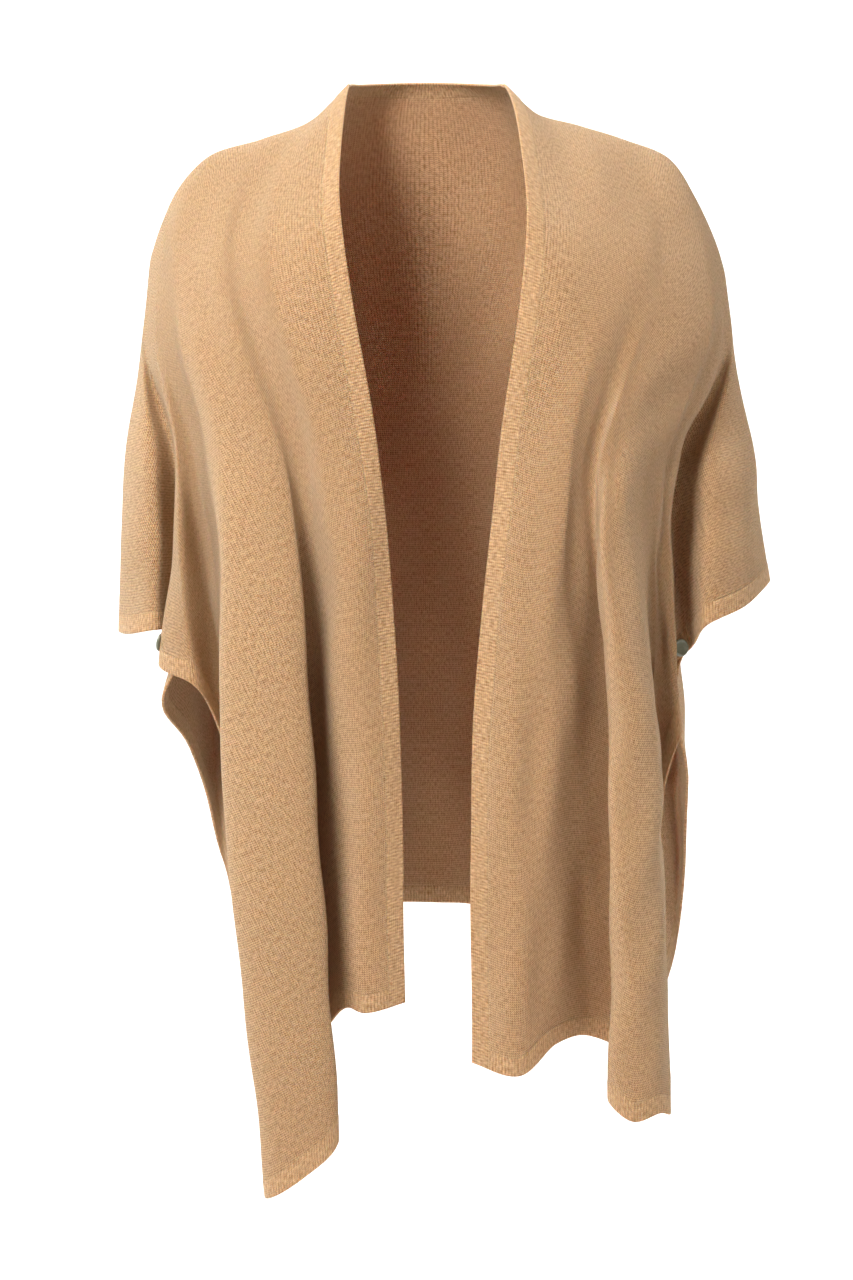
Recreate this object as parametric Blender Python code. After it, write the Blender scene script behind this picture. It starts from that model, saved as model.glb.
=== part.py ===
"""An open-front knitted poncho, hanging as it does when worn.

Lengths are in centimetres in the tables and constants, and become metres where a mesh is made.
+X is to the right of someone who looks at the front, -Y is the front and +Z is up.
The origin is the middle of the neckline, at the height where the poncho rests beside the neck.

Each cloth panel hangs in folds. A table holds one row for each fold line, from the front edge round
to the top of the sleeve, with the places where that line passes the chest, the hip and its lower end.
Smooth curves down each line and across all of them give the cloth's middle surface, and every piece
is a stretch of such a surface with a wall's thickness.
"""
import bpy
import numpy as np
from collections import namedtuple
from mathutils import Vector
from mathutils.bvhtree import BVHTree

CM = 0.01                     # metres in a centimetre

# Driving sizes, in centimetres
WALL = 0.20                   # thickness of the knitted cloth and its bands
BAND = 1.5                    # width of the ribbed bands
SEAM = 0.03                   # gap between two pieces at a seam
NECK_REACH = 6.3              # from the middle to where the cloth rests beside the neck
NECK_BACK = 6.6               # how far the back neckline lies behind the shoulder line
NECK_LIFT = 0.5               # and how far it rises above it
NECK_END = 0.2                # width of the neck band's two pointed ends on the shoulder line
BUTTON_WIDTH = 1.5
BUTTON_INSET = 0.8            # from the cloth's edge to a button's middle
BUTTON_SIDES = 24
# A button's outline from the middle of its back to the middle of its face: radius and height
BUTTON_PROFILE = [(0.55, 0.0), (0.70, 0.06), (0.75, 0.14), (0.70, 0.24), (0.60, 0.27), (0.50, 0.22),
                  (0.25, 0.17)]

# How finely the solids are divided
ROWS = 13                     # rows down a panel
STEPS = 3                     # columns between two fold lines
LATTICE_ROWS = 161            # rows of the smooth surface that pieces are cut from
LATTICE_STEPS = 12            # its columns between two fold lines

# Rows of a panel as shares of its length: close together over the shoulder, and one close to the hem
ROW_SHARES = np.append(np.linspace(0.0, 1.0, ROWS) ** 1.3, 1.0)
ROW_SHARES[-2] = 0.98

# Where the yoke, chest and hip lie, as shares of the way down each line
YOKE, CHEST, HIP = 0.14, 0.38, 0.68
YOKE_DROP = -8.5              # short lines reach these heights at a greater share of their drop,
CHEST_HEIGHT = -31.0          # and long lines at a lesser one
HIP_HEIGHT = -49.0
EVEN_CHEST = 0.8              # how far a line's yoke and chest are drawn to those heights
EVEN_HIP = 0.45               # and how far its hip is

LEVEL_START = 0.15            # how steeply a line leaves the shoulder, as a share of its slope to the yoke
LEAST_SLANT = 0.45            # sine of the least angle between a line and the edge that counts for a margin
NORMAL_EVENING = 10           # times that the cloth's normals are averaged across the folds
ROUNDING = 0.66               # how round the turn of a sharp fold is; 0 would leave a point, 1 a wide bend

# The smooth round of cloth over the shoulders at the height of the yoke
YOKE_HALF_DEPTH_FRONT = 11.2
YOKE_HALF_DEPTH_BACK = 9.6
YOKE_SQUARENESS = 0.86        # under 1 the round is squarer than an ellipse

# The shoulder line from the neck down to the top of the sleeve: distance from the middle, and height
SHOULDER = {
    "left": [(6.3, 0.0), (9.4, -3.0), (13.4, -4.5), (18.1, -6.1), (20.1, -8.2), (21.6, -11.2), (22.6, -14.0)],
    "right": [(6.3, 0.0), (8.7, -2.3), (12.4, -3.4), (16.3, -4.6), (20.0, -6.2), (21.8, -8.9), (23.7, -12.9),
              (24.4, -15.0)],
}

Fold = namedtuple("Fold", "name seat turn chest_x chest_y hip_x hip_y end_x end_y end_z")
# seat: where the line starts, as a distance along the neckline and shoulder line from the middle
# turn: how far round the yoke it passes, in degrees from straight ahead, with 90 at the shoulder line
# *_x, *_y: distance from the middle and depth where it passes the chest, the hip and its lower end
FRONT_LEFT = [
    #    name             seat  turn chest_x chest_y hip_x  hip_y  end_x  end_y  end_z
    Fold("front_edge",     6.3,  14,   3.7, -14.4,   2.2, -14.5,   1.7, -14.4, -73.6),
    Fold("inner_face",     8.8,  22,   6.2, -15.3,   5.2, -15.7,   4.9, -15.3, -74.3),
    Fold("inner_turn",    11.4,  29,   8.1, -15.2,   6.9, -14.8,   6.4, -14.2, -74.1),
    Fold("deep_valley",   12.9,  33,   9.3, -14.2,   9.4, -10.6,   9.0,  -9.8, -77.6),
    Fold("valley_floor",  14.3,  37,  10.3, -14.0,  12.2, -10.0,  11.5,  -9.2, -80.4),
    Fold("crest_inner",   15.6,  41,  11.2, -15.2,   9.0, -17.4,   6.9, -17.8, -84.2),
    Fold("crest_middle",  17.4,  46,  13.4, -15.4,  12.3, -18.1,   9.8, -18.4, -87.0),
    Fold("crest_outer",   19.0,  51,  16.0, -14.4,  15.8, -15.8,  12.6, -17.0, -88.9),
    Fold("corner",        20.4,  56,  17.0, -11.6,  15.4,  -9.6,  12.3, -11.0, -87.4),
    Fold("side_valley",   21.8,  61,  18.1,  -9.0,  16.3,  -5.7,  14.6,  -5.8, -66.0),
    Fold("edge_rise",     23.0,  65,  19.3,  -8.7,  18.0,  -6.4,  16.7,  -5.3, -53.6),
    Fold("edge_top",      24.0,  69,  20.1,  -9.1,  19.8,  -9.4,  18.9,  -9.2, -48.6),
    Fold("edge_bulge",    25.0,  72,  20.3,  -7.8,  20.5,  -8.0,  21.7,  -7.2, -47.2),
    Fold("underarm",      26.0,  75,  20.3,  -6.4,  19.8,  -6.4,  20.2,  -5.8, -44.9),
    Fold("sleeve_gap",    26.9,  78,  20.9,  -3.2,  20.1,  -2.8,  20.4,  -3.6, -44.6),
    Fold("sleeve_inner",  27.7,  81,  22.4,  -5.8,  22.0,  -6.6,  22.1,  -6.9, -44.4),
    Fold("sleeve_face",   28.4,  85,  24.1,  -3.8,  24.3,  -4.6,  24.4,  -4.8, -44.9),
    Fold("sleeve_top",    29.0,  90,  24.8,   0.0,  25.2,   0.2,  25.5,   0.3, -45.0),
]
FRONT_RIGHT = [
    #    name             seat  turn chest_x chest_y hip_x  hip_y  end_x  end_y  end_z
    Fold("front_edge",     6.3,  15,   5.6, -14.5,   3.7, -15.0,   3.6, -15.0, -78.4),
    Fold("inner_face",     8.8,  23,   8.5, -15.3,   7.0, -16.0,   7.4, -15.8, -79.3),
    Fold("inner_turn",    11.6,  30,  10.8, -15.4,  10.0, -15.2,  10.4, -13.2, -77.3),
    Fold("deep_valley",   14.2,  36,  12.0, -14.6,  12.8, -11.8,  13.2,  -9.4, -77.3),
    Fold("valley_floor",  16.6,  41,  13.3, -14.1,  15.8, -10.0,  16.9,  -8.2, -79.4),
    Fold("crest_inner",   18.8,  46,  14.1, -15.1,  14.8, -16.4,  14.5, -17.6, -81.1),
    Fold("crest_middle",  20.8,  51,  15.0, -15.1,  16.3, -17.0,  16.3, -18.4, -82.4),
    Fold("crest_outer",   22.4,  56,  16.3, -13.9,  18.2, -15.4,  18.4, -17.2, -82.0),
    Fold("corner",        23.8,  61,  17.4, -12.2,  18.6, -12.0,  19.6, -14.0, -82.4),
    Fold("side_valley",   25.1,  65,  18.4, -10.8,  17.8,  -8.6,  17.6,  -6.8, -69.0),
    Fold("edge_droop",    26.3,  68,  19.3,  -9.6,  19.0,  -8.6,  19.2,  -8.4, -57.4),
    Fold("edge_loop",     27.3,  71,  20.0,  -8.8,  19.9,  -9.0,  20.4,  -9.0, -52.6),
    Fold("underarm",      28.2,  74,  20.4,  -7.0,  19.6,  -6.9,  19.8,  -5.8, -48.0),
    Fold("sleeve_gap",    29.0,  77,  21.0,  -3.4,  20.4,  -3.3,  21.7,  -4.8, -46.0),
    Fold("sleeve_inner",  29.8,  80,  23.0,  -6.2,  22.7,  -7.2,  22.6,  -8.0, -44.0),
    Fold("sleeve_face",   30.6,  84,  25.2,  -5.0,  25.4,  -6.0,  25.9,  -6.2, -42.5),
    Fold("sleeve_top",    31.4,  90,  27.0,   0.0,  27.4,  -0.2,  28.4,  -0.4, -40.8),
]
BACK_LEFT = [
    #    name             seat  turn chest_x chest_y hip_x  hip_y  end_x  end_y  end_z
    Fold("back_middle",    0.0,   0,   0.0,  11.4,   0.0,  12.6,   0.0,  13.4, -70.0),
    Fold("first_crest",    3.3,  11,   4.0,  11.9,   4.4,  14.2,   4.2,  16.0, -70.8),
    Fold("first_valley",   7.8,  23,   7.4,  11.6,   7.2,  11.6,   6.6,  11.6, -73.4),
    Fold("second_crest",  10.8,  31,  10.2,  11.6,   9.8,  14.4,   8.8,  16.6, -77.4),
    Fold("second_valley", 14.0,  39,  12.6,  10.9,  12.0,  11.2,  10.8,  11.2, -81.2),
    Fold("outer_crest",   16.8,  46,  14.8,  10.8,  14.6,  13.6,  12.8,  15.8, -85.0),
    Fold("corner",        19.4,  53,  16.8,  10.0,  16.2,  10.6,  13.8,  11.6, -86.4),
    Fold("side_valley",   21.6,  59,  18.2,   8.8,  17.2,   6.8,  15.4,   7.2, -74.0),
    Fold("edge_low",      23.4,  64,  19.2,   8.6,  18.8,   8.2,  17.6,   8.0, -64.9),
    Fold("edge_high",     24.8,  68,  19.9,   7.6,  19.9,   7.0,  19.9,   3.2, -55.3),
    Fold("edge_bulge",    25.9,  72,  20.0,   6.2,  19.5,   4.8,  21.6,  -3.6, -50.4),
    Fold("underarm",      26.8,  76,  20.3,   4.4,  19.7,   2.4,  20.0,  -2.8, -46.2),
    Fold("sleeve_gap",    27.4,  79,  21.4,   4.6,  21.0,   2.6,  21.2,  -2.0, -45.4),
    Fold("sleeve_inner",  28.0,  82,  22.5,   5.2,  22.2,   5.6,  22.3,   5.6, -45.4),
    Fold("sleeve_face",   28.5,  86,  24.1,   3.8,  24.3,   4.4,  24.5,   4.6, -45.3),
    Fold("sleeve_top",    29.0,  90,  24.8,   0.0,  25.2,   0.2,  25.5,   0.3, -45.0),
]
BACK_RIGHT = [
    #    name             seat  turn chest_x chest_y hip_x  hip_y  end_x  end_y  end_z
    Fold("back_middle",    0.0,   0,   0.0,  11.4,   0.0,  12.6,   0.0,  13.4, -70.0),
    Fold("first_crest",    3.3,  11,   4.4,  11.9,   5.2,  14.0,   5.6,  15.6, -71.0),
    Fold("first_valley",   7.8,  23,   8.0,  11.4,   8.2,  11.4,   8.6,  11.4, -73.8),
    Fold("second_crest",  11.6,  31,  11.0,  11.4,  11.2,  14.2,  11.8,  16.2, -77.0),
    Fold("second_valley", 15.0,  39,  13.6,  10.6,  13.8,  11.0,  14.2,  11.0, -80.2),
    Fold("outer_crest",   18.2,  46,  16.0,  10.4,  16.8,  13.2,  17.2,  15.4, -83.4),
    Fold("corner",        21.0,  53,  18.0,   9.6,  19.0,  10.6,  18.8,  11.8, -84.4),
    Fold("side_valley",   23.4,  59,  19.4,   8.6,  19.9,   7.0,  19.7,   8.4, -79.0),
    Fold("edge_low",      25.4,  64,  20.6,   8.2,  21.2,   8.2,  21.6,   9.6, -73.4),
    Fold("edge_high",     27.2,  69,  21.2,   7.2,  21.4,   6.4,  22.0,   4.8, -58.0),
    Fold("underarm",      28.5,  75,  20.9,   4.4,  20.2,   2.4,  20.6,  -3.4, -47.8),
    Fold("sleeve_gap",    29.3,  78,  22.0,   4.6,  21.6,   2.6,  21.9,  -2.6, -45.8),
    Fold("sleeve_inner",  30.0,  82,  23.4,   5.2,  23.2,   5.8,  23.6,   5.6, -44.4),
    Fold("sleeve_face",   30.7,  86,  25.6,   4.0,  25.9,   4.6,  26.8,   4.2, -42.6),
    Fold("sleeve_top",    31.4,  90,  27.0,   0.0,  27.4,  -0.2,  28.4,  -0.4, -40.8),
]


def clear_scene():
    """Remove every object, so that only the poncho is in the file."""
    for item in list(bpy.data.objects):
        bpy.data.objects.remove(item, do_unlink=True)


def plain_material(name, colour, roughness):
    """A matt colour on a Principled shader."""
    material = bpy.data.materials.new(name)
    material.use_nodes = True
    shader = material.node_tree.nodes["Principled BSDF"]
    shader.inputs["Base Color"].default_value = (*colour, 1.0)
    shader.inputs["Roughness"].default_value = roughness
    shader.inputs["Metallic"].default_value = 0.0
    return material


def cubic(along, gap, first, second, first_slope, second_slope):
    """The cubic that leaves one value and meets the next with the slopes given at both."""
    square, cube = along ** 2, along ** 3
    return ((2 * cube - 3 * square + 1) * first + (cube - 2 * square + along) * gap * first_slope
            + (3 * square - 2 * cube) * second + (cube - square) * gap * second_slope)


def smooth_through(knots, values, at, start_slope=None):
    """Read a smooth curve through values, whose first axis is the knots, at each place in at.

    The slope at a knot is the mean of its two neighbours' slopes, each weighed by the other's length.
    """
    knots = np.asarray(knots, float)
    values = np.asarray(values, float)
    shape = (-1,) + (1,) * (values.ndim - 1)
    gaps = np.diff(knots).reshape(shape)
    chords = np.diff(values, axis=0) / gaps
    weight = gaps[:-1] / (gaps[:-1] + gaps[1:])
    slopes = np.empty_like(values)
    slopes[1:-1] = chords[:-1] * (1 - weight) + chords[1:] * weight
    slopes[0] = chords[0] if start_slope is None else start_slope
    slopes[-1] = chords[-1]
    span = np.clip(np.searchsorted(knots, at, side="right") - 1, 0, len(knots) - 2)
    along = (at - knots[span]).reshape(shape) / gaps[span]
    return cubic(along, gaps[span], values[span], values[span + 1], slopes[span], slopes[span + 1])


def across_folds(points, straight_start, straight_end):
    """Carry a smooth curve across the fold lines, LATTICE_STEPS columns for each pair of them.

    points is folds x 3. The knots are spaced by the square root of the distance between two points,
    so that a tight turn beside a wide face doesn't overshoot, and a sharp fold is given a round turn.
    At the top of a sleeve the curve runs level from front to back, and so meets the other panel's
    curve smoothly.
    """
    gaps = np.sqrt(np.linalg.norm(np.diff(points, axis=0), axis=1))[:, None]
    chords = np.diff(points, axis=0) / gaps
    weight = gaps[:-1] / (gaps[:-1] + gaps[1:])
    slopes = np.empty_like(points)
    slopes[1:-1] = chords[:-1] * (1 - weight) + chords[1:] * weight
    slopes[0] = chords[0]
    slopes[-1] = chords[-1]
    speed = np.linalg.norm(chords, axis=1)
    speed = speed[:-1] * (1 - weight[:, 0]) + speed[1:] * weight[:, 0]
    drawn = np.linalg.norm(slopes[1:-1], axis=1)
    slopes[1:-1] *= np.maximum(1.0, ROUNDING * speed / drawn)[:, None]
    if straight_start:
        slopes[0, ::2] = 0.0
    if straight_end:
        slopes[-1, ::2] = 0.0
    along = (np.arange(LATTICE_STEPS) / LATTICE_STEPS)[None, :, None]
    woven = cubic(along, gaps[:, None], points[:-1, None], points[1:, None],
                  slopes[:-1, None], slopes[1:, None]).reshape(-1, 3)
    return np.concatenate([woven, points[-1:]])


def shoulder_point(side, seat):
    """Distance from the middle and height of the neckline and shoulder line, at places along them.

    The neckline rises a little from the neck's side to its back, and the shoulder line goes on from
    there along the curve through the points of its table.
    """
    points = np.array(SHOULDER[side])
    steps = np.linalg.norm(np.diff(points, axis=0), axis=1)
    along = points[0, 0] + np.concatenate([[0.0], steps.cumsum()])
    reach, height = smooth_through(along, points, np.maximum(seat, points[0, 0])).T
    on_neck = seat < points[0, 0]
    lift = NECK_LIFT * (1 - np.minimum(seat / points[0, 0], 1.0) ** 2)
    return np.where(on_neck, seat, reach), np.where(on_neck, lift, height)


def hang(left, right, facing):
    """The middle surface of one hanging panel: a lattice of points with their normals, rows x columns x 6.

    left and right are the fold lines of the panel's two sides, and a front panel has one of them.
    facing is -1 for the front and 1 for the back. Columns run from left to right, or from the middle
    outwards on a front panel. Row 0 is the neckline and shoulder line, the last row the lower edge.
    """
    both = bool(left) and bool(right)
    marked = [(-1.0, fold) for fold in left] + [(1.0, fold) for fold in right]
    if both:
        marked = [(-1.0, fold) for fold in left[:0:-1]] + [(1.0, fold) for fold in right]
    hand = np.array([sign for sign, fold in marked])
    seat, turn, chest_x, chest_y, hip_x, hip_y, end_x, end_y, end_z = np.array(
        [fold[1:] for sign, fold in marked]).T
    lines = np.arange(len(marked))
    columns = np.linspace(0, lines[-1], lines[-1] * LATTICE_STEPS + 1)

    def neck_and_shoulder(seats):
        left_x, left_z = shoulder_point("left", np.abs(seats))
        right_x, right_z = shoulder_point("right", np.abs(seats))
        on_left = seats < 0
        return np.where(on_left, -left_x, right_x), np.where(on_left, left_z, right_z)

    seats = np.interp(columns, lines, hand * seat)
    top_x, top_z = neck_and_shoulder(seats)
    top_y = np.sqrt(np.clip(1 - (seats / NECK_REACH) ** 2, 0, 1)) * NECK_BACK * (facing > 0)
    top = np.stack([top_x, top_y, top_z], axis=1)

    turns = np.radians(np.interp(columns, lines, hand * turn))
    share = YOKE / CHEST
    reaches = [(1 - share) * neck_and_shoulder(sign * side[-1].seat)[0] * sign + share * side[-1].chest_x
               if side else 0.0 for sign, side in ((-1.0, left), (1.0, right))]
    reach = np.where(turns < 0, *reaches)
    depth = YOKE_HALF_DEPTH_FRONT if facing < 0 else YOKE_HALF_DEPTH_BACK
    yoke_x = np.sign(turns) * reach * np.abs(np.sin(turns)) ** YOKE_SQUARENESS
    yoke_y = facing * depth * np.clip(np.cos(turns), 0, 1) ** YOKE_SQUARENESS

    start_z = neck_and_shoulder(hand * seat)[1]
    curves = []
    for share, height, even, x, y in ((CHEST, CHEST_HEIGHT, EVEN_CHEST, chest_x, chest_y),
                                      (HIP, HIP_HEIGHT, EVEN_HIP, hip_x, hip_y),
                                      (1.0, 0.0, 0.0, end_x, end_y)):
        common = np.maximum(height, end_z + (1 - share) * (start_z - end_z) / 2)
        z = (1 - even) * (start_z + share * (end_z - start_z)) + even * common
        curves.append(across_folds(np.stack([hand * x, y, z], axis=1), both, True))
    chest, hip, end = curves
    yoke_drop = (1 - EVEN_CHEST) * YOKE * (end[:, 2] - top[:, 2]) + EVEN_CHEST * YOKE_DROP
    yoke = np.stack([yoke_x, yoke_y, top[:, 2] + yoke_drop], axis=1)

    slope = (yoke - top) / YOKE
    slope[:, 2] *= LEVEL_START
    shares = np.linspace(0.0, 1.0, LATTICE_ROWS)
    middle = smooth_through([0.0, YOKE, CHEST, HIP, 1.0], [top, yoke, chest, hip, end], shares, slope)
    normal = np.cross(np.gradient(middle, axis=1), np.gradient(middle, axis=0))
    normal /= np.linalg.norm(normal, axis=2, keepdims=True)
    for _ in range(NORMAL_EVENING):
        normal[:, 1:-1] += (normal[:, :-2] + normal[:, 2:]) / 2
    seam = np.zeros(middle.shape[:2], bool)
    seam[0] = top_y == 0
    seam[:, -1] = True
    seam[:, 0] |= both
    normal[seam, 1] = 0.0
    middle[seam, 1] += facing * SEAM / 2
    normal /= np.linalg.norm(normal, axis=2, keepdims=True)
    return np.concatenate([middle, normal], axis=2)


def read_lattice(lattice, row, column):
    """Read a lattice of points between its rows and columns, both counted from 0."""
    row = np.clip(row, 0, lattice.shape[0] - 1)
    column = np.clip(column, 0, lattice.shape[1] - 1)
    top = np.minimum(np.floor(row).astype(int), lattice.shape[0] - 2)
    first = np.minimum(np.floor(column).astype(int), lattice.shape[1] - 2)
    down = (row - top)[..., None]
    over = (column - first)[..., None]
    upper = lattice[top, first] * (1 - over) + lattice[top, first + 1] * over
    lower = lattice[top + 1, first] * (1 - over) + lattice[top + 1, first + 1] * over
    return upper * (1 - down) + lower * down


def cut(lattice, rows, columns):
    """The grid of points where rows cross columns; either may be a grid of its own."""
    rows, columns = np.broadcast_arrays(rows, columns)
    return read_lattice(lattice, rows.astype(float), columns.astype(float))


def steps_along(line, distance):
    """How many steps along a line of points it takes to go a distance from its first point."""
    steps = np.linalg.norm(np.diff(line[:, :3], axis=0), axis=1)
    return np.interp(distance, np.concatenate([[0.0], steps.cumsum()]), np.arange(len(line)))


def rows_above_edge(lattice, columns, margin):
    """The rows at which columns of the cloth are a margin away from the panel's lower edge.

    A column that meets the edge at a slant runs further inside the margin than one that meets it
    squarely, by 1 / sin(angle).
    """
    edge = np.gradient(lattice[-1, :, :3], axis=0)
    down = lattice[-1, :, :3] - lattice[-LATTICE_STEPS // 2, :, :3]
    slant = np.linalg.norm(np.cross(edge, down), axis=1)
    slant /= np.linalg.norm(edge, axis=1) * np.linalg.norm(down, axis=1)
    last_row = lattice.shape[0] - 1
    upwards = np.arange(last_row, last_row // 2, -1.0)
    found = []
    for column in columns:
        away = margin / max(np.interp(column, np.arange(len(slant)), slant), LEAST_SLANT)
        line = cut(lattice, upwards, np.full(upwards.shape, column))
        found.append(last_row - steps_along(line, away))
    return np.array(found)


def add_piece(name, points, faces, material):
    """A closed mesh as an object of its own, shaded smoothly except at its rims."""
    mesh = bpy.data.meshes.new(name)
    mesh.from_pydata(points.tolist(), [], faces)
    mesh.materials.append(material)
    mesh.shade_smooth()
    mesh.set_sharp_from_angle(angle=np.radians(50))
    bpy.context.collection.objects.link(bpy.data.objects.new(name, mesh))


def wall(name, grid, material, lean_split=0):
    """A closed wall of even thickness, centred on a grid of points with their normals, as one object.

    Diagonals lean the other way on the first lean_split columns, so that no triangle is flat where a
    shoulder line runs straight on into the top of a sleeve.
    """
    rows, columns = grid.shape[:2]
    middle = grid[..., :3]
    normal = grid[..., 3:] / np.linalg.norm(grid[..., 3:], axis=2, keepdims=True)
    points = np.concatenate([(middle + normal * WALL / 2).reshape(-1, 3),
                             (middle - normal * WALL / 2).reshape(-1, 3)]) * CM
    index = np.arange(rows * columns).reshape(rows, columns)
    corners = np.stack([index[:-1, :-1], index[:-1, 1:], index[1:, 1:], index[1:, :-1]], -1)
    mirrored = corners[:, :lean_split].reshape(-1, 4)
    plain = corners[:, lean_split:].reshape(-1, 4)
    outer = np.concatenate([plain[:, [0, 1, 3]], plain[:, [1, 2, 3]],
                            mirrored[:, [0, 1, 2]], mirrored[:, [0, 2, 3]]])
    inner = outer[:, ::-1] + rows * columns
    start = np.concatenate([index[0, :-1], index[:-1, -1], index[-1, :-1], index[:-1, 0]])
    end = np.concatenate([index[0, 1:], index[1:, -1], index[-1, 1:], index[1:, 0]])
    rim = np.stack([np.stack([end, start, start + rows * columns], 1),
                    np.stack([end, start + rows * columns, end + rows * columns], 1)])
    half = rows + columns - 2
    rim[:, half:] = rim[:, half:, ::-1]
    faces = np.concatenate([outer, inner, rim[0], rim[1]])
    add_piece(name, points, faces.tolist(), material)


def fold_column(folds, name):
    """The lattice column of a named fold line, counted from the table's first row."""
    return [fold.name for fold in folds].index(name) * LATTICE_STEPS


def edge_bands(lattice, parts, columns, material):
    """Bands along the lower edge, each between two of its places, given as lattice columns."""
    last_row = lattice.shape[0] - 1
    for name, (first, last) in parts.items():
        inner = columns[(columns > first + 1) & (columns < last - 1)]
        along = np.concatenate([[first], inner, [last]])
        start = rows_above_edge(lattice, along, BAND)
        band_rows = np.stack([start, (start + last_row) / 2, np.full(start.shape, last_row)])
        wall(name, cut(lattice, band_rows, along[None, :]), material)


def column_gap(lattice, column, towards):
    """A lattice column moved along the lower edge by half a seam's gap, to the left or right."""
    line = lattice[-1, column:column + towards * LATTICE_STEPS:towards]
    return column + towards * steps_along(line, SEAM * 0.75)


def button(name, lattice, column, outward, cloth, material):
    """A round button that lies against the edge band, with its face outwards.

    outward is 1 where the lattice's normals point to the cloth's outer side, else -1. The button is
    drawn in from a little way off, along its axis, until it is a seam's gap from the named cloth.
    """
    row = rows_above_edge(lattice, [column], BUTTON_INSET)[0]
    here = cut(lattice, np.array(row), np.array(column))
    axis = outward * here[3:] / np.linalg.norm(here[3:])
    side = np.cross(axis, [0.0, 0.0, 1.0])
    side /= np.linalg.norm(side)
    up = np.cross(axis, side)
    turn = np.linspace(0, 2 * np.pi, BUTTON_SIDES, endpoint=False)[:, None]
    spoke = np.cos(turn) * side + np.sin(turn) * up

    start = here[:3] + axis * BUTTON_INSET
    room = BUTTON_INSET
    underside = [(radius, 0.0) for radius in np.linspace(0.0, BUTTON_PROFILE[0][0], 6)] + BUTTON_PROFILE[1:3]
    for piece in cloth:
        mesh = bpy.data.objects[piece].data
        tree = BVHTree.FromPolygons([vertex.co for vertex in mesh.vertices],
                                    [face.vertices for face in mesh.polygons])
        for radius, height in underside:
            for point in (start + radius * spoke + height * axis) * CM:
                distance = tree.ray_cast(Vector(point), Vector(-axis), BUTTON_INSET * CM)[3]
                room = min(room, distance / CM if distance else room)
    seat = start - axis * (room - SEAM)

    rings = [seat + radius * spoke + height * axis for radius, height in BUTTON_PROFILE]
    points = np.concatenate(rings + [[seat], [seat + BUTTON_PROFILE[-1][1] * axis]]) * CM
    corner = np.arange(BUTTON_SIDES)
    following = (corner + 1) % BUTTON_SIDES
    faces = [[tail, head, len(points) - 2] for head, tail in zip(corner, following)]
    for ring in range(len(rings) - 1):
        low, high = ring * BUTTON_SIDES, (ring + 1) * BUTTON_SIDES
        faces += np.stack([corner + low, following + low, following + high, corner + high], 1).tolist()
    faces += [[head + high, tail + high, len(points) - 1] for head, tail in zip(corner, following)]
    add_piece(name, points, faces, material)


def front(side, folds, cloth, band_cloth):
    """One front: its panel, the band down its front edge, its hem band and its side band."""
    lattice = hang(folds, [], -1) if side == "left" else hang([], folds, -1)
    last_row, last_column = lattice.shape[0] - 1, lattice.shape[1] - 1
    columns = np.arange(0, last_column + 1, LATTICE_STEPS / STEPS)
    settled = 2 * LATTICE_STEPS

    rows = ROW_SHARES[:, None] * rows_above_edge(lattice, columns, BAND + SEAM)
    band_in, cloth_in = (np.array([steps_along(cut(lattice, row, np.arange(settled)), width)
                                   for row in rows[:, 0]])[:, None] for width in (BAND, BAND + SEAM))
    across = np.where(columns < settled, cloth_in + columns * (settled - cloth_in) / settled, columns)
    rows = ROW_SHARES[:, None] * rows_above_edge(lattice, across[-1], BAND + SEAM)
    wall(f"front_{side}", cut(lattice, rows, across), cloth)

    edge_rows = np.append(rows[:, 0], last_row)
    edge_in = np.append(band_in, band_in[-1:], axis=0)
    wall(f"front_band_{side}", cut(lattice, edge_rows[:, None], edge_in * [0.0, 0.5, 1.0]),
         band_cloth)

    corner = fold_column(folds, "corner")
    parts = {f"hem_band_front_{side}": (cloth_in[-1, 0], column_gap(lattice, corner, -1)),
             f"side_band_front_{side}": (column_gap(lattice, corner, 1), last_column)}
    edge_bands(lattice, parts, across[-1], band_cloth)
    return lattice


def back(cloth, band_cloth):
    """The back: its panel, the band round the back of the neck, its hem band and two side bands."""
    lattice = hang(BACK_LEFT, BACK_RIGHT, 1)
    last_row, last_column = lattice.shape[0] - 1, lattice.shape[1] - 1
    middle = (len(BACK_LEFT) - 1) * LATTICE_STEPS
    columns = np.arange(0, last_column + 1, LATTICE_STEPS / STEPS)
    neck_side = 2 * LATTICE_STEPS
    from_middle = np.abs(columns - middle)
    margin = np.where(from_middle < neck_side, BAND + 1.4 * SEAM, 0.0)
    top = np.array([steps_along(lattice[:, int(column)], wide) for column, wide in zip(columns, margin)])
    low = rows_above_edge(lattice, columns, BAND + SEAM)
    rows = top + ROW_SHARES[:, None] * (low - top)
    wall("back", cut(lattice, rows, columns[None, :]), cloth, lean_split=len(columns) // 2)

    end = neck_side - NECK_END / BAND * LATTICE_STEPS / STEPS
    inner = columns[from_middle < neck_side]
    along = np.concatenate([[middle - end], inner, [middle + end]])
    wide = np.where(np.abs(along - middle) < end, BAND, NECK_END - 1.4 * SEAM)
    depth = np.array([steps_along(cut(lattice, np.arange(LATTICE_ROWS), np.full(LATTICE_ROWS, column)), width)
                      for column, width in zip(along, wide)])
    wall("neck_band", cut(lattice, np.stack([0 * depth, depth / 2, depth]), along[None, :]),
         band_cloth)

    left_corner = middle - fold_column(BACK_LEFT, "corner")
    right_corner = middle + fold_column(BACK_RIGHT, "corner")
    parts = {"side_band_back_left": (0, column_gap(lattice, left_corner, -1)),
             "hem_band_back": (column_gap(lattice, left_corner, 1), column_gap(lattice, right_corner, -1)),
             "side_band_back_right": (column_gap(lattice, right_corner, 1), last_column)}
    edge_bands(lattice, parts, columns, band_cloth)
    return lattice


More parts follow.
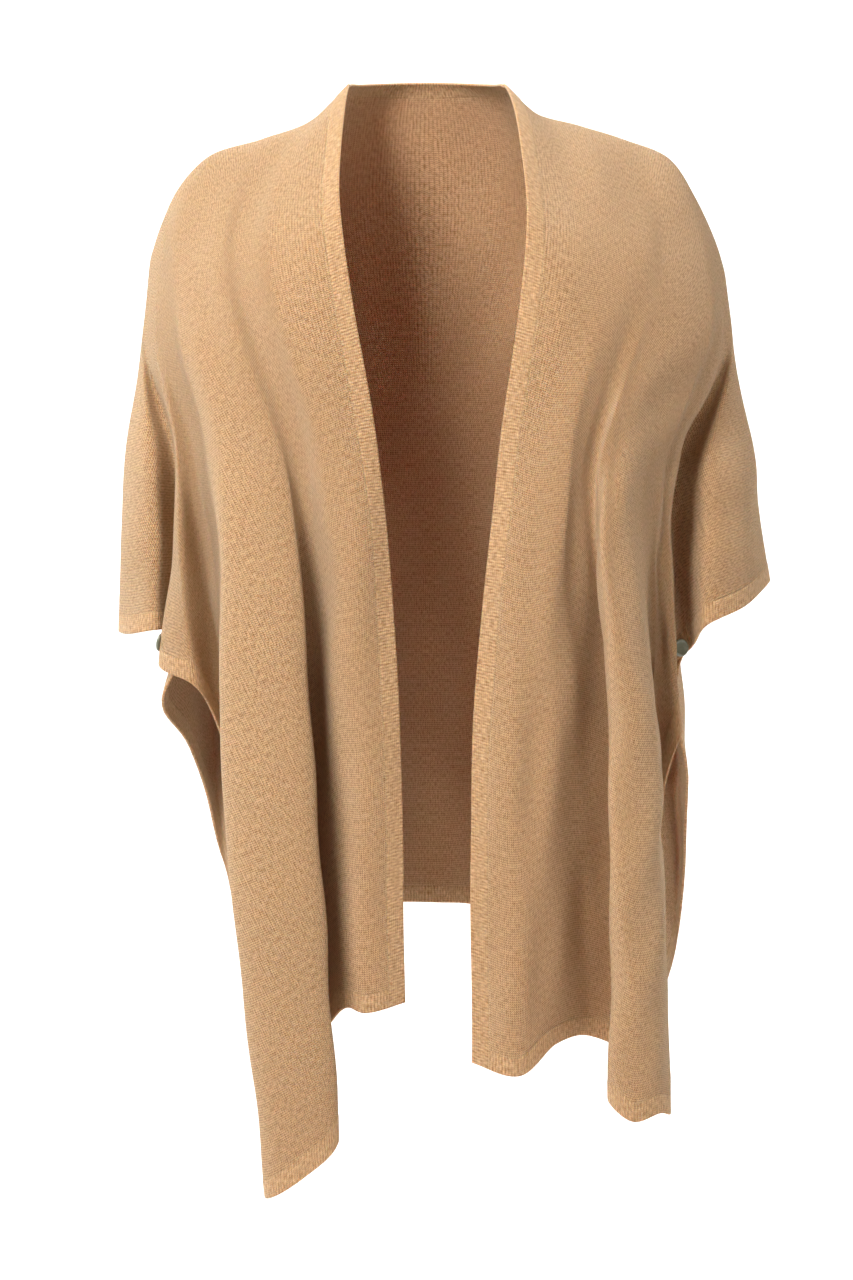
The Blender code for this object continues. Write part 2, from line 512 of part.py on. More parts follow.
clear_scene()
CLOTH = plain_material("fine_knit", (0.57, 0.34, 0.15), 0.92)
BAND_CLOTH = plain_material("ribbed_band", (0.54, 0.32, 0.14), 0.92)
SHELL = plain_material("button_shell", (0.30, 0.33, 0.27), 0.35)

LEFT = front("left", FRONT_LEFT, CLOTH, BAND_CLOTH)
RIGHT = front("right", FRONT_RIGHT, CLOTH, BAND_CLOTH)
back(CLOTH, BAND_CLOTH)
button("button_left", LEFT, fold_column(FRONT_LEFT, "edge_bulge") + LATTICE_STEPS * 0.2, 1,
       ["front_left", "side_band_front_left"], SHELL)
button("button_right", RIGHT, fold_column(FRONT_RIGHT, "underarm") + LATTICE_STEPS * 0.5, -1,
       ["front_right", "side_band_front_right"], SHELL)
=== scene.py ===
# %% [markdown]
# # An open-front knitted poncho, hanging as it does when worn
#
# The poncho is a wide rectangle of fine camel knit, a back and two fronts, open up the middle of the
# front. It rests on the shoulders, and a small button under each arm joins front and back edge, so
# that the corners hang low and the sides fall into sleeves. Ribbed bands finish every edge.
#
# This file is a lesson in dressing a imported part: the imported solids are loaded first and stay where
# they are, and each visible piece is then made over its solid.

# %% Load the fixed frame
import bpy
import numpy as np
from collections import namedtuple
from math import radians, tan
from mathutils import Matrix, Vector


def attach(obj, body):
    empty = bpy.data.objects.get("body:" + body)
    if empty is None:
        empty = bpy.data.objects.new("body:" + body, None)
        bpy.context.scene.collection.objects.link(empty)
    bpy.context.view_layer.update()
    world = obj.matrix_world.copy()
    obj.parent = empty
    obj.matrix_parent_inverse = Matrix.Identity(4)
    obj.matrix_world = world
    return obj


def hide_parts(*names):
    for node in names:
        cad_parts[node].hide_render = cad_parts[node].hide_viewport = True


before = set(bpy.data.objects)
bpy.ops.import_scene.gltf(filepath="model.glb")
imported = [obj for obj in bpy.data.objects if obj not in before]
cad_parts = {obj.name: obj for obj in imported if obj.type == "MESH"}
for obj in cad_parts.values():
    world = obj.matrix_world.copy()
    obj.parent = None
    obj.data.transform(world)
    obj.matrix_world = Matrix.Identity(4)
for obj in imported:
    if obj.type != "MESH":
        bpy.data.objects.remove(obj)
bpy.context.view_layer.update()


# %% [markdown]
# ## The camera
#
# The view is straight from the front and 5 degrees from above, from about 3 m away. From there the
# sleeves' lower edges curve down a little, and the inside of the back shows beside the left front.
# A camera can be fitted by its lens or by its angle of view. The upright angle of view is used here,
# because the picture is upright and its height decides how large the poncho is.

# %% Camera
TARGET = Vector((0.0, 0.0, -0.458))
DISTANCE = 3.0
ELEVATION = radians(5.0)
VIEW_HEIGHT = radians(20.13)
SENSOR_HEIGHT = 24.0

camera_data = bpy.data.cameras.new("camera")
camera_data.sensor_fit = "VERTICAL"
camera_data.sensor_height = SENSOR_HEIGHT
camera_data.lens = SENSOR_HEIGHT / 2 / tan(VIEW_HEIGHT / 2)
camera = bpy.data.objects.new("camera", camera_data)
bpy.context.collection.objects.link(camera)
away = Vector((0.0, -np.cos(ELEVATION), np.sin(ELEVATION)))
camera.location = TARGET + DISTANCE * away
camera.rotation_euler = (-away).to_track_quat("-Z", "Y").to_euler()
bpy.context.scene.camera = camera
print(f"lens {camera_data.lens:.1f} mm, camera at {camera.location[:]}")

# %% [markdown]
# ## The cloth's sizes and its folds
#
# Cloth that hangs is easiest to describe by its fold lines: the crests and valleys that run from the
# shoulder down to the hem. Each table below has one row for each line, with the places where the
# line passes the chest, the hip and its lower end, in centimetres. They are the same lines that the
# solids follow, so the visible cloth lies where its solid does. A simulation could drape the cloth
# too, but it would not fall into the folds that this garment shows, so the folds are listed one by one.

# %% Sizes
CM = 0.01                     # metres in a centimetre

CLOTH_THICK = 0.17            # the single knit
BAND_THICK = 0.24             # the bands are knitted double
BAND = 1.5                    # width of the bands
SEAM = 0.03                   # gap between two pieces at a seam
NECK_REACH = 6.3              # from the middle to where the cloth rests beside the neck
NECK_BACK = 6.6               # how far the back neckline lies behind the shoulder line
NECK_LIFT = 0.5               # and how far it rises above it
NECK_END = 0.2                # width of the neck band's two pointed ends on the shoulder line
HALF_WIDTH = 60.0             # the flat cloth, from its middle to its side edge
LENGTH_FRONT = 76.0           # and from the shoulder line to the hem
LENGTH_BACK = 74.0

LATTICE_ROWS = 181            # rows of the smooth surface that pieces are cut from
LATTICE_STEPS = 12            # its columns between two fold lines

# Where the yoke, chest and hip lie, as shares of the way down each line
YOKE, CHEST, HIP = 0.14, 0.38, 0.68
YOKE_DROP = -8.5              # short lines reach these heights at a greater share of their drop,
CHEST_HEIGHT = -31.0          # and long lines at a lesser one
HIP_HEIGHT = -49.0
EVEN_CHEST = 0.8              # how far a line's yoke and chest are drawn to those heights
EVEN_HIP = 0.45               # and how far its hip is

LEVEL_START = 0.15            # how steeply a line leaves the shoulder, as a share of its slope to the yoke
LEAST_SLANT = 0.45            # sine of the least angle between a line and the edge that counts for a margin
NORMAL_EVENING = 10           # times that the cloth's normals are averaged across the folds
ROUNDING = 0.66               # how round the turn of a sharp fold is; 0 would leave a point, 1 a wide bend

# The smooth round of cloth over the shoulders at the height of the yoke
YOKE_HALF_DEPTH_FRONT = 11.2
YOKE_HALF_DEPTH_BACK = 9.6
YOKE_SQUARENESS = 0.86        # under 1 the round is squarer than an ellipse

# The shoulder line from the neck down to the top of the sleeve: distance from the middle, and height
SHOULDER = {
    "left": [(6.3, 0.0), (9.4, -3.0), (13.4, -4.5), (18.1, -6.1), (20.1, -8.2), (21.6, -11.2), (22.6, -14.0)],
    "right": [(6.3, 0.0), (8.7, -2.3), (12.4, -3.4), (16.3, -4.6), (20.0, -6.2), (21.8, -8.9), (23.7, -12.9),
              (24.4, -15.0)],
}
print(f"cloth {CLOTH_THICK * 10:.1f} mm thick, bands {BAND_THICK * 10:.1f} mm, {BAND * 10:.0f} mm wide")

# %% Fold lines
Fold = namedtuple("Fold", "name seat turn chest_x chest_y hip_x hip_y end_x end_y end_z")
# seat: where the line starts, as a distance along the neckline and shoulder line from the middle
# turn: how far round the yoke it passes, in degrees from straight ahead, with 90 at the shoulder line
# *_x, *_y: distance from the middle and depth where it passes the chest, the hip and its lower end


def fold_lines(*rows):
    """The fold lines of one side of a panel, from the middle outwards."""
    return [Fold(*row) for row in rows]


FRONT_LEFT = fold_lines(
    # name             seat turn chest_x    _y hip_x    _y end_x    _y     _z
    ("front_edge",     6.3, 14,  3.7, -14.4,  2.2, -14.5,  1.7, -14.4, -73.6),
    ("inner_face",     8.8, 22,  6.2, -15.3,  5.2, -15.7,  4.9, -15.3, -74.3),
    ("inner_turn",    11.4, 29,  8.1, -15.2,  6.9, -14.8,  6.4, -14.2, -74.1),
    ("deep_valley",   12.9, 33,  9.3, -14.2,  9.4, -10.6,  9.0,  -9.8, -77.6),
    ("valley_floor",  14.3, 37, 10.3, -14.0, 12.2, -10.0, 11.5,  -9.2, -80.4),
    ("crest_inner",   15.6, 41, 11.2, -15.2,  9.0, -17.4,  6.9, -17.8, -84.2),
    ("crest_middle",  17.4, 46, 13.4, -15.4, 12.3, -18.1,  9.8, -18.4, -87.0),
    ("crest_outer",   19.0, 51, 16.0, -14.4, 15.8, -15.8, 12.6, -17.0, -88.9),
    ("corner",        20.4, 56, 17.0, -11.6, 15.4,  -9.6, 12.3, -11.0, -87.4),
    ("side_valley",   21.8, 61, 18.1,  -9.0, 16.3,  -5.7, 14.6,  -5.8, -66.0),
    ("edge_rise",     23.0, 65, 19.3,  -8.7, 18.0,  -6.4, 16.7,  -5.3, -53.6),
    ("edge_top",      24.0, 69, 20.1,  -9.1, 19.8,  -9.4, 18.9,  -9.2, -48.6),
    ("edge_bulge",    25.0, 72, 20.3,  -7.8, 20.5,  -8.0, 21.7,  -7.2, -47.2),
    ("underarm",      26.0, 75, 20.3,  -6.4, 19.8,  -6.4, 20.2,  -5.8, -44.9),
    ("sleeve_gap",    26.9, 78, 20.9,  -3.2, 20.1,  -2.8, 20.4,  -3.6, -44.6),
    ("sleeve_inner",  27.7, 81, 22.4,  -5.8, 22.0,  -6.6, 22.1,  -6.9, -44.4),
    ("sleeve_face",   28.4, 85, 24.1,  -3.8, 24.3,  -4.6, 24.4,  -4.8, -44.9),
    ("sleeve_top",    29.0, 90, 24.8,   0.0, 25.2,   0.2, 25.5,   0.3, -45.0),
)
FRONT_RIGHT = fold_lines(
    ("front_edge",     6.3, 15,  5.6, -14.5,  3.7, -15.0,  3.6, -15.0, -78.4),
    ("inner_face",     8.8, 23,  8.5, -15.3,  7.0, -16.0,  7.4, -15.8, -79.3),
    ("inner_turn",    11.6, 30, 10.8, -15.4, 10.0, -15.2, 10.4, -13.2, -77.3),
    ("deep_valley",   14.2, 36, 12.0, -14.6, 12.8, -11.8, 13.2,  -9.4, -77.3),
    ("valley_floor",  16.6, 41, 13.3, -14.1, 15.8, -10.0, 16.9,  -8.2, -79.4),
    ("crest_inner",   18.8, 46, 14.1, -15.1, 14.8, -16.4, 14.5, -17.6, -81.1),
    ("crest_middle",  20.8, 51, 15.0, -15.1, 16.3, -17.0, 16.3, -18.4, -82.4),
    ("crest_outer",   22.4, 56, 16.3, -13.9, 18.2, -15.4, 18.4, -17.2, -82.0),
    ("corner",        23.8, 61, 17.4, -12.2, 18.6, -12.0, 19.6, -14.0, -82.4),
    ("side_valley",   25.1, 65, 18.4, -10.8, 17.8,  -8.6, 17.6,  -6.8, -69.0),
    ("edge_droop",    26.3, 68, 19.3,  -9.6, 19.0,  -8.6, 19.2,  -8.4, -57.4),
    ("edge_loop",     27.3, 71, 20.0,  -8.8, 19.9,  -9.0, 20.4,  -9.0, -52.6),
    ("underarm",      28.2, 74, 20.4,  -7.0, 19.6,  -6.9, 19.8,  -5.8, -48.0),
    ("sleeve_gap",    29.0, 77, 21.0,  -3.4, 20.4,  -3.3, 21.7,  -4.8, -46.0),
    ("sleeve_inner",  29.8, 80, 23.0,  -6.2, 22.7,  -7.2, 22.6,  -8.0, -44.0),
    ("sleeve_face",   30.6, 84, 25.2,  -5.0, 25.4,  -6.0, 25.9,  -6.2, -42.5),
    ("sleeve_top",    31.4, 90, 27.0,   0.0, 27.4,  -0.2, 28.4,  -0.4, -40.8),
)
BACK_LEFT = fold_lines(
    ("back_middle",    0.0,  0,  0.0,  11.4,  0.0,  12.6,  0.0,  13.4, -70.0),
    ("first_crest",    3.3, 11,  4.0,  11.9,  4.4,  14.2,  4.2,  16.0, -70.8),
    ("first_valley",   7.8, 23,  7.4,  11.6,  7.2,  11.6,  6.6,  11.6, -73.4),
    ("second_crest",  10.8, 31, 10.2,  11.6,  9.8,  14.4,  8.8,  16.6, -77.4),
    ("second_valley", 14.0, 39, 12.6,  10.9, 12.0,  11.2, 10.8,  11.2, -81.2),
    ("outer_crest",   16.8, 46, 14.8,  10.8, 14.6,  13.6, 12.8,  15.8, -85.0),
    ("corner",        19.4, 53, 16.8,  10.0, 16.2,  10.6, 13.8,  11.6, -86.4),
    ("side_valley",   21.6, 59, 18.2,   8.8, 17.2,   6.8, 15.4,   7.2, -74.0),
    ("edge_low",      23.4, 64, 19.2,   8.6, 18.8,   8.2, 17.6,   8.0, -64.9),
    ("edge_high",     24.8, 68, 19.9,   7.6, 19.9,   7.0, 19.9,   3.2, -55.3),
    ("edge_bulge",    25.9, 72, 20.0,   6.2, 19.5,   4.8, 21.6,  -3.6, -50.4),
    ("underarm",      26.8, 76, 20.3,   4.4, 19.7,   2.4, 20.0,  -2.8, -46.2),
    ("sleeve_gap",    27.4, 79, 21.4,   4.6, 21.0,   2.6, 21.2,  -2.0, -45.4),
    ("sleeve_inner",  28.0, 82, 22.5,   5.2, 22.2,   5.6, 22.3,   5.6, -45.4),
    ("sleeve_face",   28.5, 86, 24.1,   3.8, 24.3,   4.4, 24.5,   4.6, -45.3),
    ("sleeve_top",    29.0, 90, 24.8,   0.0, 25.2,   0.2, 25.5,   0.3, -45.0),
)
BACK_RIGHT = fold_lines(
    ("back_middle",    0.0,  0,  0.0,  11.4,  0.0,  12.6,  0.0,  13.4, -70.0),
    ("first_crest",    3.3, 11,  4.4,  11.9,  5.2,  14.0,  5.6,  15.6, -71.0),
    ("first_valley",   7.8, 23,  8.0,  11.4,  8.2,  11.4,  8.6,  11.4, -73.8),
    ("second_crest",  11.6, 31, 11.0,  11.4, 11.2,  14.2, 11.8,  16.2, -77.0),
    ("second_valley", 15.0, 39, 13.6,  10.6, 13.8,  11.0, 14.2,  11.0, -80.2),
    ("outer_crest",   18.2, 46, 16.0,  10.4, 16.8,  13.2, 17.2,  15.4, -83.4),
    ("corner",        21.0, 53, 18.0,   9.6, 19.0,  10.6, 18.8,  11.8, -84.4),
    ("side_valley",   23.4, 59, 19.4,   8.6, 19.9,   7.0, 19.7,   8.4, -79.0),
    ("edge_low",      25.4, 64, 20.6,   8.2, 21.2,   8.2, 21.6,   9.6, -73.4),
    ("edge_high",     27.2, 69, 21.2,   7.2, 21.4,   6.4, 22.0,   4.8, -58.0),
    ("underarm",      28.5, 75, 20.9,   4.4, 20.2,   2.4, 20.6,  -3.4, -47.8),
    ("sleeve_gap",    29.3, 78, 22.0,   4.6, 21.6,   2.6, 21.9,  -2.6, -45.8),
    ("sleeve_inner",  30.0, 82, 23.4,   5.2, 23.2,   5.8, 23.6,   5.6, -44.4),
    ("sleeve_face",   30.7, 86, 25.6,   4.0, 25.9,   4.6, 26.8,   4.2, -42.6),
    ("sleeve_top",    31.4, 90, 27.0,   0.0, 27.4,  -0.2, 28.4,  -0.4, -40.8),
)
print("fold lines:", *(len(table) for table in (FRONT_LEFT, FRONT_RIGHT, BACK_LEFT, BACK_RIGHT)))

# %% [markdown]
# ## From fold lines to a smooth surface
#
# A cubic through each fold line's places makes the line smooth, and a second set of cubics across
# all the lines makes the surface. A row of knots spaced by the square root of their distances keeps
# a tight turn beside a wide face from overshooting. Blender's own NURBS surfaces could do this, but
# they give no hold on the slopes at the seams, where front and back have to meet without a crease.

# %% Curves
def travelled(line):
    """Distance travelled at each point of a line of points, or of each column of a lattice."""
    steps = np.linalg.norm(np.diff(line[..., :3], axis=0), axis=-1)
    return np.concatenate([np.zeros((1,) + steps.shape[1:]), steps.cumsum(axis=0)])


def cubic(along, gap, first, second, first_slope, second_slope):
    """The cubic that leaves one value and meets the next with the slopes given at both.

    With t from 0 to 1 it is first*(2t^3-3t^2+1) + second*(3t^2-2t^3), and the slopes, times the gap,
    weigh t^3-2t^2+t and t^3-t^2.
    """
    square, cube = along ** 2, along ** 3
    return ((2 * cube - 3 * square + 1) * first + (cube - 2 * square + along) * gap * first_slope
            + (3 * square - 2 * cube) * second + (cube - square) * gap * second_slope)


def knot_slopes(values, gaps):
    """The straight slopes between knots, how much the later one weighs at each knot, and the slopes there.

    The slope at a knot is the mean of its two neighbours' slopes, each weighed by the other's length.
    """
    chords = np.diff(values, axis=0) / gaps
    weight = gaps[:-1] / (gaps[:-1] + gaps[1:])
    slopes = np.concatenate([chords[:1], chords[:-1] * (1 - weight) + chords[1:] * weight, chords[-1:]])
    return chords, weight, slopes


def smooth_through(knots, values, at, start_slope=None):
    """Read a smooth curve through values, whose first axis is the knots, at each place in at."""
    knots = np.asarray(knots, float)
    values = np.asarray(values, float)
    shape = (-1,) + (1,) * (values.ndim - 1)
    gaps = np.diff(knots).reshape(shape)
    chords, weight, slopes = knot_slopes(values, gaps)
    if start_slope is not None:
        slopes[0] = start_slope
    span = np.clip(np.searchsorted(knots, at, side="right") - 1, 0, len(knots) - 2)
    along = (at - knots[span]).reshape(shape) / gaps[span]
    return cubic(along, gaps[span], values[span], values[span + 1], slopes[span], slopes[span + 1])


def across_folds(points, straight_start, straight_end):
    """Carry a smooth curve across the fold lines, LATTICE_STEPS columns for each pair of them.

    points is folds x 3. Each knot's slope is lengthened to at least ROUNDING times the mean speed of
    its two neighbours, which gives a sharp fold a round turn. At the top of a sleeve the curve runs
    level from front to back, and so meets the other panel's curve smoothly.
    """
    gaps = np.sqrt(np.linalg.norm(np.diff(points, axis=0), axis=1))[:, None]
    chords, weight, slopes = knot_slopes(points, gaps)
    speed = np.linalg.norm(chords, axis=1)
    speed = speed[:-1] * (1 - weight[:, 0]) + speed[1:] * weight[:, 0]
    drawn = np.linalg.norm(slopes[1:-1], axis=1)
    slopes[1:-1] *= np.maximum(1.0, ROUNDING * speed / drawn)[:, None]
    if straight_start:
        slopes[0, ::2] = 0.0
    if straight_end:
        slopes[-1, ::2] = 0.0
    along = (np.arange(LATTICE_STEPS) / LATTICE_STEPS)[None, :, None]
    woven = cubic(along, gaps[:, None], points[:-1, None], points[1:, None],
                  slopes[:-1, None], slopes[1:, None]).reshape(-1, 3)
    return np.concatenate([woven, points[-1:]])


def shoulder_point(side, seat):
    """Distance from the middle and height of the neckline and shoulder line, at places along them.

    The neckline rises from the neck's side to its back as NECK_LIFT * (1 - share^2), and the shoulder
    line goes on from there along the curve through the points of its table.
    """
    points = np.array(SHOULDER[side])
    along = points[0, 0] + travelled(points)
    reach, height = smooth_through(along, points, np.maximum(seat, points[0, 0])).T
    on_neck = seat < points[0, 0]
    lift = NECK_LIFT * (1 - np.minimum(seat / points[0, 0], 1.0) ** 2)
    return np.where(on_neck, seat, reach), np.where(on_neck, lift, height)


def neck_and_shoulder(seats):
    """X and height along the whole neckline and shoulder line; seats left of the middle are negative."""
    left_x, left_z = shoulder_point("left", np.abs(seats))
    right_x, right_z = shoulder_point("right", np.abs(seats))
    return np.where(seats < 0, -left_x, right_x), np.where(seats < 0, left_z, right_z)


# %% The hanging panel
def hang(left, right, facing):
    """The middle surface of one hanging panel: a lattice of points with their normals, rows x columns x 6.

    left and right are the fold lines of the panel's two sides, and a front panel has one of them.
    facing is -1 for the front and 1 for the back. Columns run from left to right, or from the middle
    outwards on a front panel. Row 0 is the neckline and shoulder line, the last row the lower edge.
    At the yoke a line turned by an angle a passes x = reach*sin(a)^0.86, y = depth*cos(a)^0.86.
    """
    both = bool(left) and bool(right)
    marked = [(-1.0, fold) for fold in (left[:0:-1] if both else left)] + [(1.0, fold) for fold in right]
    hand = np.array([sign for sign, fold in marked])
    seat, turn, chest_x, chest_y, hip_x, hip_y, end_x, end_y, end_z = np.array(
        [fold[1:] for sign, fold in marked]).T
    lines = np.arange(len(marked))
    columns = np.linspace(0, lines[-1], lines[-1] * LATTICE_STEPS + 1)

    seats = np.interp(columns, lines, hand * seat)
    top_x, top_z = neck_and_shoulder(seats)
    top_y = np.sqrt(np.clip(1 - (seats / NECK_REACH) ** 2, 0, 1)) * NECK_BACK * (facing > 0)
    top = np.stack([top_x, top_y, top_z], axis=1)

    turns = np.radians(np.interp(columns, lines, hand * turn))
    share = YOKE / CHEST
    reaches = [(1 - share) * neck_and_shoulder(sign * side[-1].seat)[0] * sign + share * side[-1].chest_x
               if side else 0.0 for sign, side in ((-1.0, left), (1.0, right))]
    reach = np.where(turns < 0, *reaches)
    depth = YOKE_HALF_DEPTH_FRONT if facing < 0 else YOKE_HALF_DEPTH_BACK
    yoke_x = np.sign(turns) * reach * np.abs(np.sin(turns)) ** YOKE_SQUARENESS
    yoke_y = facing * depth * np.clip(np.cos(turns), 0, 1) ** YOKE_SQUARENESS

    start_z = neck_and_shoulder(hand * seat)[1]
    curves = []
    for share, height, even, x, y in ((CHEST, CHEST_HEIGHT, EVEN_CHEST, chest_x, chest_y),
                                      (HIP, HIP_HEIGHT, EVEN_HIP, hip_x, hip_y),
                                      (1.0, 0.0, 0.0, end_x, end_y)):
        common = np.maximum(height, end_z + (1 - share) * (start_z - end_z) / 2)
        z = (1 - even) * (start_z + share * (end_z - start_z)) + even * common
        curves.append(across_folds(np.stack([hand * x, y, z], axis=1), both, True))
    chest, hip, end = curves
    yoke_drop = (1 - EVEN_CHEST) * YOKE * (end[:, 2] - top[:, 2]) + EVEN_CHEST * YOKE_DROP
    yoke = np.stack([yoke_x, yoke_y, top[:, 2] + yoke_drop], axis=1)

    slope = (yoke - top) / YOKE
    slope[:, 2] *= LEVEL_START
    shares = np.linspace(0.0, 1.0, LATTICE_ROWS)
    middle = smooth_through([0.0, YOKE, CHEST, HIP, 1.0], [top, yoke, chest, hip, end], shares, slope)
    normal = np.cross(np.gradient(middle, axis=1), np.gradient(middle, axis=0))
    normal /= np.linalg.norm(normal, axis=2, keepdims=True)
    for _ in range(NORMAL_EVENING):
        normal[:, 1:-1] += (normal[:, :-2] + normal[:, 2:]) / 2
    seam = np.zeros(middle.shape[:2], bool)
    seam[0] = top_y == 0
    seam[:, -1] = True
    seam[:, 0] |= both
    normal[seam, 1] = 0.0
    middle[seam, 1] += facing * SEAM / 2
    normal /= np.linalg.norm(normal, axis=2, keepdims=True)
    return np.concatenate([middle, normal], axis=2)


# %% Reading the lattice
def cut(lattice, row, column):
    """Read the lattice where rows cross columns, both counted from 0 and read between its points.

    Between four points the value is their mean, weighed by how near the place is to each.
    """
    row, column = np.broadcast_arrays(np.asarray(row, float), np.asarray(column, float))
    row = np.clip(row, 0, lattice.shape[0] - 1)
    column = np.clip(column, 0, lattice.shape[1] - 1)
    top = np.minimum(np.floor(row).astype(int), lattice.shape[0] - 2)
    first = np.minimum(np.floor(column).astype(int), lattice.shape[1] - 2)
    down = (row - top)[..., None]
    over = (column - first)[..., None]
    upper = lattice[top, first] * (1 - over) + lattice[top, first + 1] * over
    lower = lattice[top + 1, first] * (1 - over) + lattice[top + 1, first + 1] * over
    return upper * (1 - down) + lower * down


def steps_along(line, distance):
    """How many steps along a line of points it takes to go a distance from its first point."""
    return np.interp(distance, travelled(line), np.arange(len(line)))


def rows_above_edge(lattice, columns, margin):
    """The rows at which columns of the cloth are a margin away from the panel's lower edge.

    A column that meets the edge at a slant runs further inside the margin than one that meets it
    squarely, by 1 / sin(angle).
    """
    edge = np.gradient(lattice[-1, :, :3], axis=0)
    down = lattice[-1, :, :3] - lattice[-LATTICE_STEPS // 2, :, :3]
    slant = np.linalg.norm(np.cross(edge, down), axis=1)
    slant /= np.linalg.norm(edge, axis=1) * np.linalg.norm(down, axis=1)
    last_row = lattice.shape[0] - 1
    upwards = np.arange(last_row, last_row // 2, -1.0)
    found = []
    for column in columns:
        away = margin / max(np.interp(column, np.arange(len(slant)), slant), LEAST_SLANT)
        line = cut(lattice, upwards, np.full(upwards.shape, column))
        found.append(last_row - steps_along(line, away))
    return np.array(found)


def fold_column(folds, name):
    """The lattice column of a named fold line, counted from the table's first row."""
    return [fold.name for fold in folds].index(name) * LATTICE_STEPS


# %% [markdown]
# ## Where each point lies on the flat cloth
#
# Knit shows its direction: the columns of stitches, called wales, run straight down the cloth as it
# was knitted. So each point of the hanging surface is given the place that it had on the flat cloth,
# and the stitch pattern is drawn there. The flat front is a rectangle from the slit to the side
# edge. Along its hem and up its side, lengths on the hanging cloth are shared out over the flat
# edge, and each column of the lattice is a straight line on the flat cloth, from the shoulder line
# down to its own place on that edge.

# %% Flat places
def flat_edge(edge, corner, inner, outer, length):
    """Flat places along a hanging edge, from the middle of the hem to the top of the side edge.

    Up to the corner, x goes from inner to outer by the share of length, with y = length. From the
    corner on, x = outer and y falls to 0 by the share of length.
    """
    along = travelled(edge)
    hem = np.clip(along / along[corner], 0, 1)
    side = np.clip((along - along[corner]) / (along[-1] - along[corner]), 0, 1)
    return np.stack([inner + (outer - inner) * hem, length * (1 - side)], axis=1)


def flat_places(lattice, seats, edge_places):
    """Flat places of a whole lattice: each column is straight from its seat to its edge place."""
    down = travelled(lattice)
    share = (down / down[-1])[..., None]
    start = np.stack([seats, np.zeros_like(seats)], axis=1)
    return start * (1 - share) + edge_places * share

# %% [markdown]
# ## Creases and slackness
#
# Between its main folds, soft knit is never quite smooth. Long soft ridges run down from the
# shoulder and the bust, small ones gather at the buttons, and the whole cloth is a little slack.
# Each crease is a soft ridge or trough between two places on the flat cloth, which moves the
# surface along its normal. The slackness is a sum of a few long waves.

# %% Creases
# x0, y0, x1, y1, bow, width, height: from (x0, y0) to (x1, y1) on the flat cloth, bowed sideways in
# its middle, with the width and height of the ridge
CREASES = {
    "front_left": [
        (17, 14, 50, 74, 3.0, 1.6, 0.33),
        (19, 18, 54, 62, 2.0, 1.2, -0.24),
        (13, 22, 38, 74, 1.5, 1.4, 0.21),
        (9, 30, 14, 72, -0.8, 1.6, 0.24),
        (8, 42, 11, 70, 0.6, 1.1, -0.18),
        (26, 8, 56, 44, -2.0, 1.8, -0.30),
        (30, 6, 58, 20, -1.0, 1.5, 0.27),
        (40, 20, 58, 34, 1.0, 1.2, 0.21),
        (45, 34, 59, 30, 0.6, 0.9, -0.18),
        (44, 54, 59, 40, -0.8, 1.1, 0.24),
        (48, 66, 59, 55, 1.0, 1.2, -0.18),
    ],
    "front_right": [
        (18, 14, 40, 74, 2.0, 1.7, 0.30),
        (22, 16, 50, 70, 3.0, 1.3, -0.27),
        (26, 20, 56, 60, 2.0, 1.2, 0.22),
        (10, 28, 15, 74, -0.8, 1.8, 0.27),
        (14, 24, 28, 74, 1.5, 1.2, -0.18),
        (27, 7, 56, 42, -2.0, 1.8, -0.30),
        (31, 5, 58, 16, -1.0, 1.4, 0.30),
        (42, 22, 58, 32, 1.0, 1.2, 0.24),
        (44, 36, 59, 28, 0.8, 0.9, -0.21),
        (46, 56, 59, 42, -0.8, 1.1, 0.21),
    ],
    "back": [
        (-12, 16, -22, 72, 1.5, 1.8, 0.27),
        (-6, 26, -8, 72, -0.8, 1.6, -0.21),
        (-20, 14, -48, 70, 2.0, 1.5, 0.27),
        (-26, 8, -56, 40, 1.5, 1.8, -0.27),
        (-30, 6, -58, 20, 1.0, 1.4, 0.27),
        (-44, 50, -59, 38, 0.8, 1.1, 0.21),
        (4, 24, 7, 72, 0.8, 1.7, 0.24),
        (13, 15, 25, 72, -1.5, 1.7, -0.24),
        (21, 14, 46, 70, -2.0, 1.5, 0.27),
        (27, 8, 56, 42, -1.5, 1.8, -0.27),
        (31, 6, 58, 18, -1.0, 1.4, 0.27),
        (45, 52, 59, 40, -0.8, 1.1, 0.21),
    ],
}
FADE_POWER = 0.7              # how blunt a crease's two ends are
SWELL = 0.2                   # how far its height swells and sinks along the way, as a share
SWELL_TURN = 7.0              # and how fast it does, in radians over its length
STRETCHED = 6.0               # within this distance of the shoulder line the cloth is stretched flat
SLACK = 0.06                  # height of the slack waves
# Slack waves: wavelengths along x and y of the flat cloth, and the place where each starts
SLACK_WAVES = [(9.0, 31.0, 0.3), (14.0, -17.0, 1.9), (-23.0, 12.0, 4.1), (7.0, 19.0, 2.7)]


def crease_height(flat, x0, y0, x1, y1, bow, width, height):
    """Height of one crease over the flat cloth: height * exp(-(distance/width)^2), fading at both ends.

    The ends fade as sin(pi*share)^power, and the height swells as 1 + swell*sin(turn*share + x0).
    """
    start = np.array([x0, y0])
    run = np.array([x1, y1]) - start
    length = np.hypot(*run)
    run = run / length
    offset = flat - start
    share = np.clip(offset @ run / length, 0, 1)
    aside = offset @ np.array([-run[1], run[0]]) - bow * np.sin(np.pi * share)
    beyond = offset @ run - share * length
    fade = np.sin(np.pi * share) ** FADE_POWER * (1 + SWELL * np.sin(SWELL_TURN * share + x0))
    return height * fade * np.exp(-(aside ** 2 + beyond ** 2) / width ** 2)


